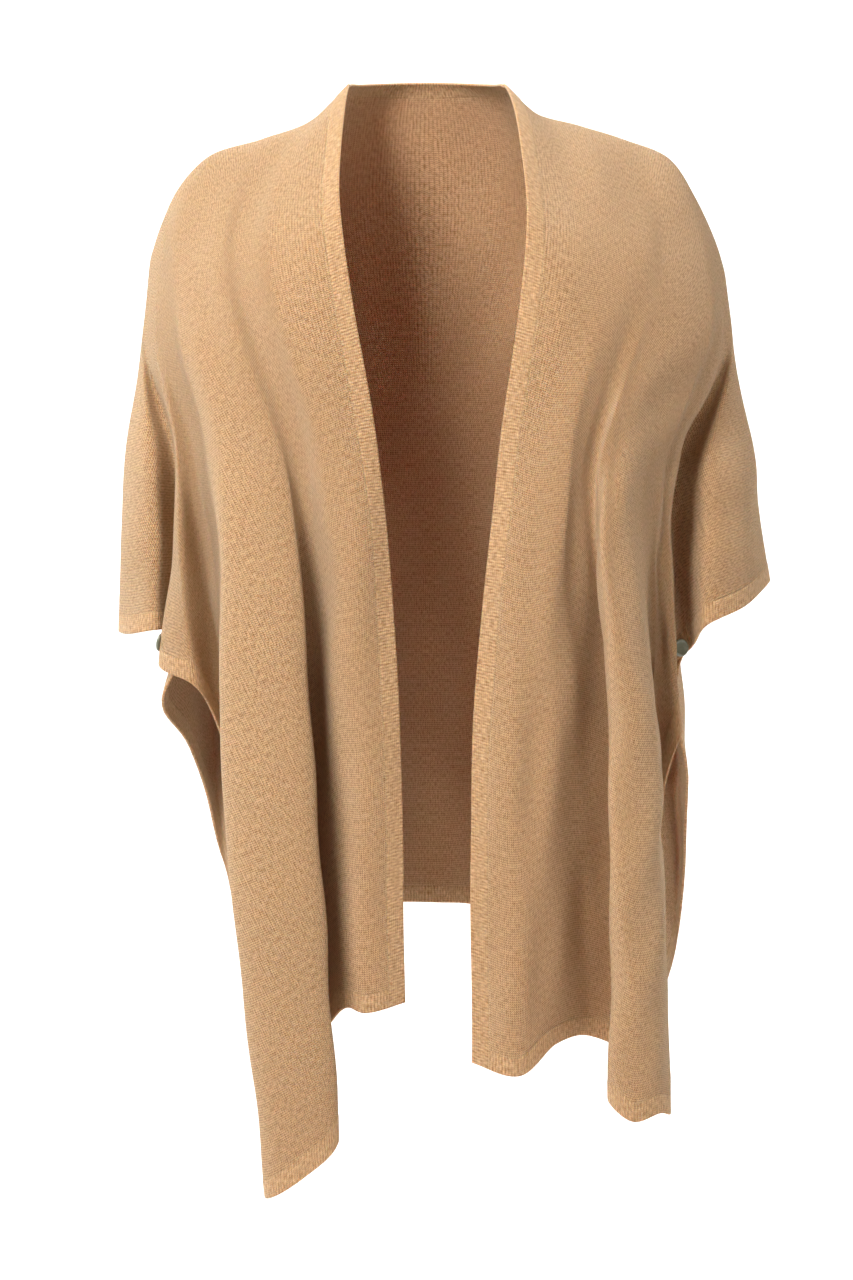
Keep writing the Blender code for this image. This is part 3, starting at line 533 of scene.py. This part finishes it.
def creased(lattice, flat, name):
    """The lattice with its creases and slackness, each moving it along its normals.

    They fade out towards the shoulder line, where the cloth is stretched over the shoulder.
    """
    height = sum(crease_height(flat, *crease) for crease in CREASES[name])
    for across, down, start in SLACK_WAVES:
        height = height + SLACK * np.sin(2 * np.pi * (flat[..., 0] / across + flat[..., 1] / down) + start)
    height *= np.clip(flat[..., 1] / STRETCHED, 0, 1)
    moved = lattice.copy()
    moved[..., :3] += height[..., None] * lattice[..., 3:6]
    return moved


def panel(name, left, right, facing):
    """One hanging panel with its creases: a lattice of points, normals and flat places, x 8.

    The flat places are in centimetres, with x from the garment's middle and y from the shoulder line.
    """
    lattice = hang(left, right, facing)
    length = LENGTH_FRONT if facing < 0 else LENGTH_BACK
    halves = []
    for sign, side in ((-1.0, left), (1.0, right)):
        if side:
            start = (len(left) - 1) * LATTICE_STEPS if left and right else 0
            picked = slice(start, None) if sign > 0 or not right else slice(start, None, -1)
            inner = side[0].seat
            edge = flat_edge(lattice[-1, picked, :3], fold_column(side, "corner"), inner, HALF_WIDTH, length)
            seats = np.interp(np.arange(len(edge)) / LATTICE_STEPS, np.arange(len(side)),
                              [fold.seat for fold in side])
            flat = flat_places(lattice[:, picked], seats, edge) * [sign, 1.0]
            halves.append(flat[:, ::-1] if left and right and sign < 0 else flat)
    if len(halves) == 2:
        halves[0] = halves[0][:, :-1]
    flat = np.concatenate(halves, axis=1)
    lattice = creased(lattice, flat, name)
    area = np.linalg.norm(np.cross(np.diff(lattice[:-1, :, :3], axis=1),
                                   np.diff(lattice[:, :-1, :3], axis=0)), axis=2).sum() * CM * CM
    print(f"{name}: {lattice.shape[0]} x {lattice.shape[1]} points, {area:.3f} square metres of cloth")
    return np.concatenate([lattice, flat], axis=2)


LATTICES = {"front_left": panel("front_left", FRONT_LEFT, [], -1),
            "front_right": panel("front_right", [], FRONT_RIGHT, -1),
            "back": panel("back", BACK_LEFT, BACK_RIGHT, 1)}

# %% [markdown]
# ## Colours and materials
#
# The cloth is a fine single jersey in a soft camel yarn, probably viscose with some cotton or wool.
# Three things make it look like knit and not like paper: the rows of V-shaped stitches, a soft fuzz
# that is brightest where the cloth turns away, and light that passes through it and makes the folds
# glow. The stitches could be an image, but a pattern worked out by nodes stays sharp at any size, so
# it is worked out from the cloth's flat places, which are its UV map, in metres.

# %% Material helpers
def linear(hex_colour):
    """An sRGB hex colour as linear red, green, blue and alpha: c/12.92, or ((c+0.055)/1.055)^2.4."""
    channels = np.array([int(hex_colour[i:i + 2], 16) for i in (1, 3, 5)]) / 255
    straight = channels <= 0.04045
    curved = ((channels + 0.055) / 1.055) ** 2.4
    return [float(value) for value in np.where(straight, channels / 12.92, curved)] + [1.0]


def add_node(tree, kind, inputs=None, **settings):
    """Add one node to a material: settings are its options, and inputs are numbers or other outputs."""
    node = tree.nodes.new(kind)
    for name, setting in settings.items():
        setattr(node, name, setting)
    for socket, value in (inputs or {}).items():
        if isinstance(value, bpy.types.NodeSocket):
            tree.links.new(value, node.inputs[socket])
        else:
            node.inputs[socket].default_value = value
    return node


def blank_material(name):
    """A new material whose only nodes are its output and a Principled shader."""
    material = bpy.data.materials.new(name)
    material.use_nodes = True
    return material, material.node_tree, material.node_tree.nodes["Principled BSDF"]

# %% [markdown]
# ### The knit
#
# One stitch of the real cloth is about 1.4 mm wide and 1.1 mm high. In a picture where a pixel is
# 0.8 mm that would blur away, so the stitches are drawn 2.2 mm wide and 1.7 mm high. Within each
# wale the legs of the stitches lean up to both sides of its middle, so the phase of the rows grows
# with the distance from the wale's middle, which draws the Vs. A bump of a fraction of a millimetre
# follows the same pattern, and so does painted shade: a darker colour in the grooves between the legs.

# %% Knit materials
WALE = 0.0022                 # width of a stitch as drawn, metres
COURSE = 0.0017               # height of a stitch as drawn
RIB = 0.0026                  # width of one rib of the bands
LEAN = 1.1                    # how many courses a leg rises over half the width of its wale
GROOVE = 0.6                  # depth of the groove between wales, when a leg is 1 high
WANDER = 0.0022               # how far the wales wander sideways, in slow blotches
FUZZ_HEIGHT = 0.9             # height of the loose fibres, when a leg is 1 high
RELIEF = 0.0007               # height that the bump gives to a leg, metres
HEATHER_SHARE = 1.6           # how strongly fibres of mixed shades vary the colour
SLOW_BLOTCHES, FINE_BLOTCHES, FIBRES = 28.0, 640.0, 900.0     # how many to a metre

# the yarn's light and dark camel; besides the heather, painted shade in the grooves between the stitches
# draws the colour towards the dark one
CAMEL_LIGHT = "#DCBB94"
CAMEL_DARK = "#8A643E"
FUZZ = "#F6E3CC"


def knit_material(name, width, lean, share, groove_power, level, painted_groove_shade):
    """Knit with stitches share*(1 + cos(2*pi*(v/COURSE + lean*|p|))) - GROOVE*(2*|p|)^power high.

    u and v are metres on the flat cloth, and p runs from -0.5 to 0.5 across each wale of a width. The
    colour lies the last argument times height above its level, between the dark and the light camel,
    with the heather added: this is painted shade, darker in the grooves between the legs.
    """
    material, tree, shader = blank_material(name)
    place = add_node(tree, "ShaderNodeUVMap", uv_map="flat").outputs[0]
    flat = add_node(tree, "ShaderNodeSeparateXYZ", {0: place})
    slow = add_node(tree, "ShaderNodeTexNoise", {"Vector": place, "Scale": SLOW_BLOTCHES, "Detail": 3.0})
    sway = add_node(tree, "ShaderNodeMath", {0: slow.outputs[0], 1: WANDER, 2: flat.outputs["X"]},
                    operation="MULTIPLY_ADD")
    wale = add_node(tree, "ShaderNodeMath", {0: sway.outputs[0], 1: width}, operation="DIVIDE")
    part_way = add_node(tree, "ShaderNodeMath", {0: wale.outputs[0]}, operation="FRACT")
    middle = add_node(tree, "ShaderNodeMath", {0: part_way.outputs[0], 1: 0.5}, operation="SUBTRACT")
    aside = add_node(tree, "ShaderNodeMath", {0: middle.outputs[0]}, operation="ABSOLUTE")
    rows = add_node(tree, "ShaderNodeMath", {0: flat.outputs["Y"], 1: COURSE}, operation="DIVIDE")
    phase = add_node(tree, "ShaderNodeMath", {0: aside.outputs[0], 1: lean, 2: rows.outputs[0]},
                     operation="MULTIPLY_ADD")
    turn = add_node(tree, "ShaderNodeMath", {0: phase.outputs[0], 1: 2 * np.pi}, operation="MULTIPLY")
    legs = add_node(tree, "ShaderNodeMath", {0: turn.outputs[0]}, operation="COSINE")
    twice = add_node(tree, "ShaderNodeMath", {0: aside.outputs[0], 1: 2.0}, operation="MULTIPLY")
    groove = add_node(tree, "ShaderNodeMath", {0: twice.outputs[0], 1: groove_power}, operation="POWER")
    stitch = add_node(tree, "ShaderNodeMath", {0: legs.outputs[0], 1: share, 2: share},
                      operation="MULTIPLY_ADD")
    height = add_node(tree, "ShaderNodeMath", {0: groove.outputs[0], 1: -GROOVE, 2: stitch.outputs[0]},
                      operation="MULTIPLY_ADD")

    fibre = add_node(tree, "ShaderNodeTexNoise", {"Vector": place, "Scale": FIBRES, "Detail": 3.0})
    fuzzy = add_node(tree, "ShaderNodeMath", {0: fibre.outputs[0], 1: FUZZ_HEIGHT, 2: height.outputs[0]},
                     operation="MULTIPLY_ADD")
    bump = add_node(tree, "ShaderNodeBump", {"Strength": 0.9, "Distance": RELIEF, "Height": fuzzy.outputs[0]})

    drawn = add_node(tree, "ShaderNodeMapping", {"Vector": place, "Scale": (1.0, 0.4, 1.0)})
    heather = add_node(tree, "ShaderNodeTexNoise", {"Vector": drawn.outputs[0], "Scale": FINE_BLOTCHES,
                                                    "Detail": 2.0, "Roughness": 0.5})
    mottle = add_node(tree, "ShaderNodeMath", {0: heather.outputs[0], 1: HEATHER_SHARE,
                                               2: level - HEATHER_SHARE / 2}, operation="MULTIPLY_ADD")
    # painted shade: the colour darkens with the stitch height into the grooves between the legs, on top of
    # the yarn's heather
    groove_shade_and_heather = add_node(tree, "ShaderNodeMath", {0: height.outputs[0], 1: painted_groove_shade, 2: mottle.outputs[0]},
                   operation="MULTIPLY_ADD", use_clamp=True)
    colour = add_node(tree, "ShaderNodeMix", {0: groove_shade_and_heather.outputs[0], 6: linear(CAMEL_DARK),
                                              7: linear(CAMEL_LIGHT)}, data_type="RGBA")
    tree.links.new(colour.outputs[2], shader.inputs["Base Color"])
    tree.links.new(bump.outputs[0], shader.inputs["Normal"])
    for socket, value in {"Roughness": 0.9, "IOR": 1.5, "Specular IOR Level": 0.25,
                          "Sheen Weight": 0.35, "Sheen Roughness": 0.4, "Sheen Tint": linear(FUZZ),
                          "Subsurface Weight": 0.6, "Subsurface Radius": (1.0, 0.45, 0.18),
                          "Subsurface Scale": 0.003}.items():
        shader.inputs[socket].default_value = value
    return material


JERSEY = knit_material("camel fine jersey knit", width=WALE, lean=LEAN, share=0.5, groove_power=4.0,
                       level=0.3, painted_groove_shade=0.75)
RIBBED = knit_material("camel ribbed knit", width=RIB, lean=0.2, share=0.2, groove_power=2.0,
                       level=0.58, painted_groove_shade=0.45)
print("materials:", JERSEY.name, "and", RIBBED.name)

# %% [markdown]
# ## Cloth with a thickness
#
# Each piece of cloth is a stretch of its panel's lattice, given two sides half a thickness from the
# middle surface. Blender's Solidify modifier could do it, but along a fold's sharp turn it lets the
# inner side cross itself, where the evened normals of the lattice do not. A knitted edge is round,
# so the thickness falls off towards a free edge like the end of a circle. At the shoulder line,
# where front and back are sewn together, it only dips a little.

# %% Shells of cloth
ROUND_EDGE = ((0.0, 0.3), (0.2, 0.6), (0.55, 0.89), (1.0, 1.0))
SEWN_EDGE = ((0.0, 0.8), (0.6, 1.0))
# Rings of an edge, from the outside in: distance, and half thickness, as shares of half the thickness
RING_LIMIT = 0.9              # the rings keep to this share of the way to the next row
CREASE_ANGLE = radians(60)    # edges sharper than this are shaded as sharp


def edge_steps(count, spacing, thickness, first, last):
    """Where to read a grid in one direction, and the share of the thickness there.

    The grid's own places, and beside each edge its rings, moved in by a share of half the thickness.
    """
    ring = thickness / 2 / spacing
    head = [(min(distance * ring, RING_LIMIT), share) for distance, share in first]
    tail = [(count - 1 - min(distance * ring, RING_LIMIT), share) for distance, share in reversed(last)]
    inside = [(float(place), 1.0) for place in range(1, count - 1)]
    places, shares = np.array(head + inside + tail).T
    return places, shares


def shell(name, lattice, rows, columns, thickness, edges, material, band_axis=None):
    """A closed piece of cloth: middle + normal*half and middle - normal*half, joined round its rim.

    rows and columns are grids of lattice places. edges are the rings of the four edges: those of the
    first and last row, and of the first and last column. On a band, flat places are measured along
    band_axis and across it, because its ribs run across it.
    """
    rows, columns = np.broadcast_arrays(np.asarray(rows, float), np.asarray(columns, float))
    rough = cut(lattice, rows, columns)[..., :3]
    spacing = [np.linalg.norm(np.diff(rough, axis=axis), axis=2).mean() for axis in (0, 1)]
    down, down_share = edge_steps(rows.shape[0], spacing[0], thickness, edges[0], edges[1])
    over, over_share = edge_steps(rows.shape[1], spacing[1], thickness, edges[2], edges[3])
    places = cut(np.stack([rows, columns], axis=2), down[:, None], over[None, :])
    read = cut(lattice, places[..., 0], places[..., 1])
    middle, normal, flat = read[..., :3], read[..., 3:6], read[..., 6:]
    normal = normal / np.linalg.norm(normal, axis=2, keepdims=True)
    half = thickness / 2 * down_share[:, None, None] * over_share[None, :, None]

    if band_axis is not None:
        length, across = (np.swapaxes(travelled(np.swapaxes(middle, 0, axis)), 0, axis)
                          for axis in (band_axis, 1 - band_axis))
        length = np.broadcast_to(length.mean(axis=1 - band_axis, keepdims=True), length.shape)
        flat = np.stack([length, across], axis=2)

    points = np.concatenate([(middle + normal * half).reshape(-1, 3),
                             (middle - normal * half).reshape(-1, 3)]) * CM
    count_down, count_over = middle.shape[:2]
    index = np.arange(count_down * count_over).reshape(count_down, count_over)
    outer = np.stack([index[:-1, :-1], index[:-1, 1:], index[1:, 1:], index[1:, :-1]], -1).reshape(-1, 4)
    inner = outer[:, ::-1] + index.size
    start = np.concatenate([index[0, 1:], index[1:, -1], index[-1, :-1], index[:-1, 0]])
    end = np.concatenate([index[0, :-1], index[:-1, -1], index[-1, 1:], index[1:, 0]])
    rim = np.stack([start, end, end + index.size, start + index.size], axis=1)
    faces = np.concatenate([outer, inner, rim])
    uv = np.concatenate([flat.reshape(-1, 2), flat.reshape(-1, 2)]) * CM

    mesh = bpy.data.meshes.new(name)
    mesh.from_pydata(points, [], faces)
    layer = mesh.uv_layers.new(name="flat")
    layer.data.foreach_set("uv", uv[faces.ravel()].astype(np.float32).ravel())
    mesh.materials.append(material)
    mesh.shade_smooth()
    mesh.set_sharp_from_angle(angle=CREASE_ANGLE)
    piece = bpy.data.objects.new(name, mesh)
    bpy.context.collection.objects.link(piece)
    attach(piece, "root")
    print(f"{name}: {len(faces) * 2} triangles")
    return piece

# %% [markdown]
# ## The fronts
#
# A front's cloth stops short of its edges, where the bands begin. The bands are thicker than the
# cloth and overlap its end by half a millimetre, as a knitted-on band does, which leaves the fine
# line that shows beside every band. The band of the front edge runs from the neck to the hem, and
# the hem and side bands meet at the low corner.

# %% Fronts
OVERLAP = 0.05                # how far a band covers the end of the cloth
PANEL_ROWS = 150
BAND_STEPS = np.linspace(0, 1, 6)     # the rows of a band, as shares of its width
CLEAR = 0.4                   # least distance, in columns, from a band's end to its next points
SETTLED = 2 * LATTICE_STEPS           # columns over which the cloth makes room for its front band


def laid_flat(lattice, middle, corner, end):
    """Width and length, in metres, of a panel's cloth laid flat, on one side of its middle column.

    Width is the mean of the shoulder and sleeve line and the hem, (top + sleeve + hem) / 2, and length
    that of the middle column and the side edge, (inner + side) / 2, all measured on the hanging cloth.
    """
    step = 1 if end > middle else -1
    top, sleeve, inner = (travelled(line)[-1] for line in (
        lattice[0, middle::step], lattice[:, end], lattice[:, middle]))
    edge = travelled(lattice[-1, middle::step])
    hem = edge[abs(corner - middle)]
    side = edge[-1] - hem
    return (top + sleeve + hem) / 2 * CM, (inner + side) / 2 * CM


def edge_bands(lattice, parts, columns):
    """Bands along the lower edge. Each part is a name, the solid it replaces, and its two end columns."""
    last_row = lattice.shape[0] - 1
    made = []
    for name, solid, first, last in parts:
        inner = columns[(columns > first + CLEAR) & (columns < last - CLEAR)]
        along = np.concatenate([[first], inner, [last]])
        start = rows_above_edge(lattice, along, BAND)
        rows = start + (last_row - start) * BAND_STEPS[:, None]
        made.append(shell(name, lattice, rows, along[None, :], BAND_THICK,
                          (SEWN_EDGE, ROUND_EDGE, SEWN_EDGE, SEWN_EDGE), RIBBED, band_axis=1))
        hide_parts(solid)
    return made


def front(side, folds):
    """One front: its cloth, the band down its front edge, its hem band and its side band."""
    lattice = LATTICES[f"front_{side}"]
    last_row, last_column = lattice.shape[0] - 1, lattice.shape[1] - 1
    columns = np.arange(last_column + 1.0)
    shares = np.linspace(0, 1, PANEL_ROWS)[:, None]

    rows = shares * rows_above_edge(lattice, columns, BAND - OVERLAP)
    band_in, cloth_in = (np.array([steps_along(cut(lattice, row, np.arange(SETTLED)), width)
                                   for row in rows[:, 0]])[:, None] for width in (BAND, BAND - OVERLAP))
    across = np.where(columns < SETTLED, cloth_in + columns * (SETTLED - cloth_in) / SETTLED, columns)
    rows = shares * rows_above_edge(lattice, across[-1], BAND - OVERLAP)
    cloth = shell(f"{side}_front_cloth", lattice, rows, across, CLOTH_THICK, (SEWN_EDGE,) * 4, JERSEY)
    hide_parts(f"front_{side}")

    edge_rows = np.append(rows[:, 0], np.linspace(rows[-1, 0], last_row, 5)[1:])
    edge_in = np.append(band_in, np.repeat(band_in[-1:], 4, axis=0), axis=0)
    band = shell(f"{side}_front_band", lattice, edge_rows[:, None], edge_in * BAND_STEPS,
                 BAND_THICK, (SEWN_EDGE, ROUND_EDGE, ROUND_EDGE, SEWN_EDGE), RIBBED, band_axis=0)
    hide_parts(f"front_band_{side}")

    corner = fold_column(folds, "corner")
    parts = [(f"{side}_front_hem_band", f"hem_band_front_{side}", band_in[-1, 0], corner),
             (f"{side}_front_side_band", f"side_band_front_{side}", corner, last_column)]
    return cloth, [band] + edge_bands(lattice, parts, across[-1])


for side, folds in (("left", FRONT_LEFT), ("right", FRONT_RIGHT)):
    cloth, bands = front(side, folds)
    lattice = LATTICES[f"front_{side}"]
    flat = laid_flat(lattice, 0, fold_column(folds, "corner"), lattice.shape[1] - 1)
    print(f"{side} front, laid flat: {flat[0]:.3f} by {flat[1]:.3f} m")

# %% [markdown]
# ## The back
#
# The back is one wide rectangle with a shallow curve cut out for the neck. Its band round the neck
# narrows to a point at each end, where it meets the front bands on the shoulder line.

# %% Back
BACK = LATTICES["back"]
MIDDLE = (len(BACK_LEFT) - 1) * LATTICE_STEPS
LEFT_CORNER = MIDDLE - fold_column(BACK_LEFT, "corner")
RIGHT_CORNER = MIDDLE + fold_column(BACK_RIGHT, "corner")
END_COLUMN = BACK.shape[1] - 1
COLUMN_STEP = 1.5             # lattice columns between two columns of points
NECK_SIDE = 2 * LATTICE_STEPS         # columns from the middle to the side of the neck


def back():
    """The back: its cloth, the band round the back of the neck, its hem band and two side bands."""
    columns = np.arange(0, END_COLUMN + 1, COLUMN_STEP)
    from_middle = np.abs(columns - MIDDLE)
    margin = np.where(from_middle < NECK_SIDE, BAND - OVERLAP, 0.0)
    top = np.array([steps_along(BACK[:, int(column)], wide) for column, wide in zip(columns, margin)])
    low = rows_above_edge(BACK, columns, BAND - OVERLAP)
    rows = top + np.linspace(0, 1, PANEL_ROWS)[:, None] * (low - top)
    cloth = shell("back_cloth", BACK, rows, columns[None, :], CLOTH_THICK, (SEWN_EDGE,) * 4, JERSEY)
    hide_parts("back")

    end = NECK_SIDE - 0.5
    inner = columns[from_middle < end - 0.5]
    along = np.concatenate([[MIDDLE - end], inner, [MIDDLE + end]])
    wide = np.where(np.abs(along - MIDDLE) < end, BAND, NECK_END)
    depth = np.array([steps_along(cut(BACK, np.arange(LATTICE_ROWS), np.full(LATTICE_ROWS, column)), width)
                      for column, width in zip(along, wide)])
    band = shell("back_neck_band", BACK, depth * BAND_STEPS[:, None], along[None, :], BAND_THICK,
                 (ROUND_EDGE, SEWN_EDGE, SEWN_EDGE, SEWN_EDGE), RIBBED, band_axis=1)
    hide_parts("neck_band")

    parts = [("left_back_side_band", "side_band_back_left", 0, LEFT_CORNER),
             ("back_hem_band", "hem_band_back", LEFT_CORNER, RIGHT_CORNER),
             ("right_back_side_band", "side_band_back_right", RIGHT_CORNER, END_COLUMN)]
    return cloth, [band] + edge_bands(BACK, parts, columns)


cloth, bands = back()
HALVES = [laid_flat(BACK, MIDDLE, LEFT_CORNER, 0), laid_flat(BACK, MIDDLE, RIGHT_CORNER, END_COLUMN)]
flat = (HALVES[0][0] + HALVES[1][0], (HALVES[0][1] + HALVES[1][1]) / 2)
print(f"back, laid flat: {flat[0]:.3f} by {flat[1]:.3f} m")

# %% [markdown]
# ## The buttons
#
# Each button is a small disc with the grey-green shimmer of shell, moulded in polyester. The solid
# buttons already have the right shape and place, so they stay and only get a better material.

# %% Button material
SHELL_GREY = "#8E9384"
SHELL_GREEN = "#5F6B5C"


def button_material():
    """Moulded polyester with a shell effect: glossy, with soft bands of two greys between cloudy veins."""
    material, tree, shader = blank_material("moulded shell-effect polyester")
    place = add_node(tree, "ShaderNodeTexCoord").outputs["Object"]
    veins = add_node(tree, "ShaderNodeTexNoise", {"Vector": place, "Scale": 170.0, "Detail": 2.0,
                                                  "Distortion": 1.2})
    colour = add_node(tree, "ShaderNodeMix", {0: veins.outputs[0], 6: linear(SHELL_GREEN),
                                              7: linear(SHELL_GREY)}, data_type="RGBA")
    tree.links.new(colour.outputs[2], shader.inputs["Base Color"])
    for socket, value in {"Roughness": 0.25, "IOR": 1.55, "Coat Weight": 0.3}.items():
        shader.inputs[socket].default_value = value
    return material


SHELL_EFFECT = button_material()
for name in ("button_left", "button_right"):
    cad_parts[name].material_slots[0].material = SHELL_EFFECT

# %% [markdown]
# ## Floor and light
#
# The poncho hangs in a white studio. One smooth sweep of pale card makes the floor and the
# backdrop, so that no horizon shows. A large soft light stands in front, above and to the left, and
# a weaker one on the right opens the shadows, so that the folds stay soft and the colour even.

# %% Studio
FLOOR_HEIGHT = -1.45
SWEEP_WIDTH = 9.0
CHEST_AIM = (0.0, 0.0, -0.25)


def sweep():
    """Floor and backdrop in one sheet: flat, then a quarter circle, then upright."""
    radius, depth, height = 1.2, 2.4, 5.0
    turn = np.linspace(0, np.pi / 2, 24)
    y = np.concatenate([[-6.0], depth + radius * np.sin(turn), [depth + radius]])
    z = np.concatenate([[0.0], radius - radius * np.cos(turn), [height]]) + FLOOR_HEIGHT
    points = np.stack([np.repeat([[-SWEEP_WIDTH / 2], [SWEEP_WIDTH / 2]], len(y), axis=1),
                       np.stack([y, y]), np.stack([z, z])], axis=2).reshape(-1, 3)
    left = np.arange(len(y) - 1)
    faces = np.stack([left, left + len(y), left + len(y) + 1, left + 1], axis=1)
    mesh = bpy.data.meshes.new("studio sweep")
    mesh.from_pydata(points, [], faces)
    mesh.shade_smooth()
    material, tree, shader = blank_material("white studio card")
    shader.inputs["Base Color"].default_value = linear("#F4F4F4")
    shader.inputs["Roughness"].default_value = 0.95
    mesh.materials.append(material)
    card = bpy.data.objects.new("studio_sweep", mesh)
    bpy.context.collection.objects.link(card)


def soft_light(name, place, aim, size, power, colour):
    """A square area light at a place, turned to face the point that it aims at."""
    data = bpy.data.lights.new(name, "AREA")
    data.shape = "SQUARE"
    data.size = size
    data.energy = power
    data.color = linear(colour)[:3]
    light = bpy.data.objects.new(name, data)
    light.location = place
    light.rotation_euler = (Vector(aim) - Vector(place)).to_track_quat("-Z", "Y").to_euler()
    bpy.context.collection.objects.link(light)


sweep()
soft_light("key light", (-1.25, -2.2, 1.7), CHEST_AIM, 1.1, 146, "#FFF9F2")
soft_light("fill light", (1.9, -2.6, 0.6), CHEST_AIM, 1.6, 19, "#FFECDA")
for side in (-1, 1):
    soft_light("backdrop light", (side * 2.2, 1.0, 1.6), (side * 0.9, 3.4, 0.2), 1.6, 120, "#FFFFFF")
world = bpy.data.worlds.new("studio")
bpy.context.scene.world = world
world.use_nodes = True
world.node_tree.nodes["Background"].inputs["Color"].default_value = linear("#FFDCBC")
world.node_tree.nodes["Background"].inputs["Strength"].default_value = 0.1
bpy.context.scene.view_settings.view_transform = "Standard"
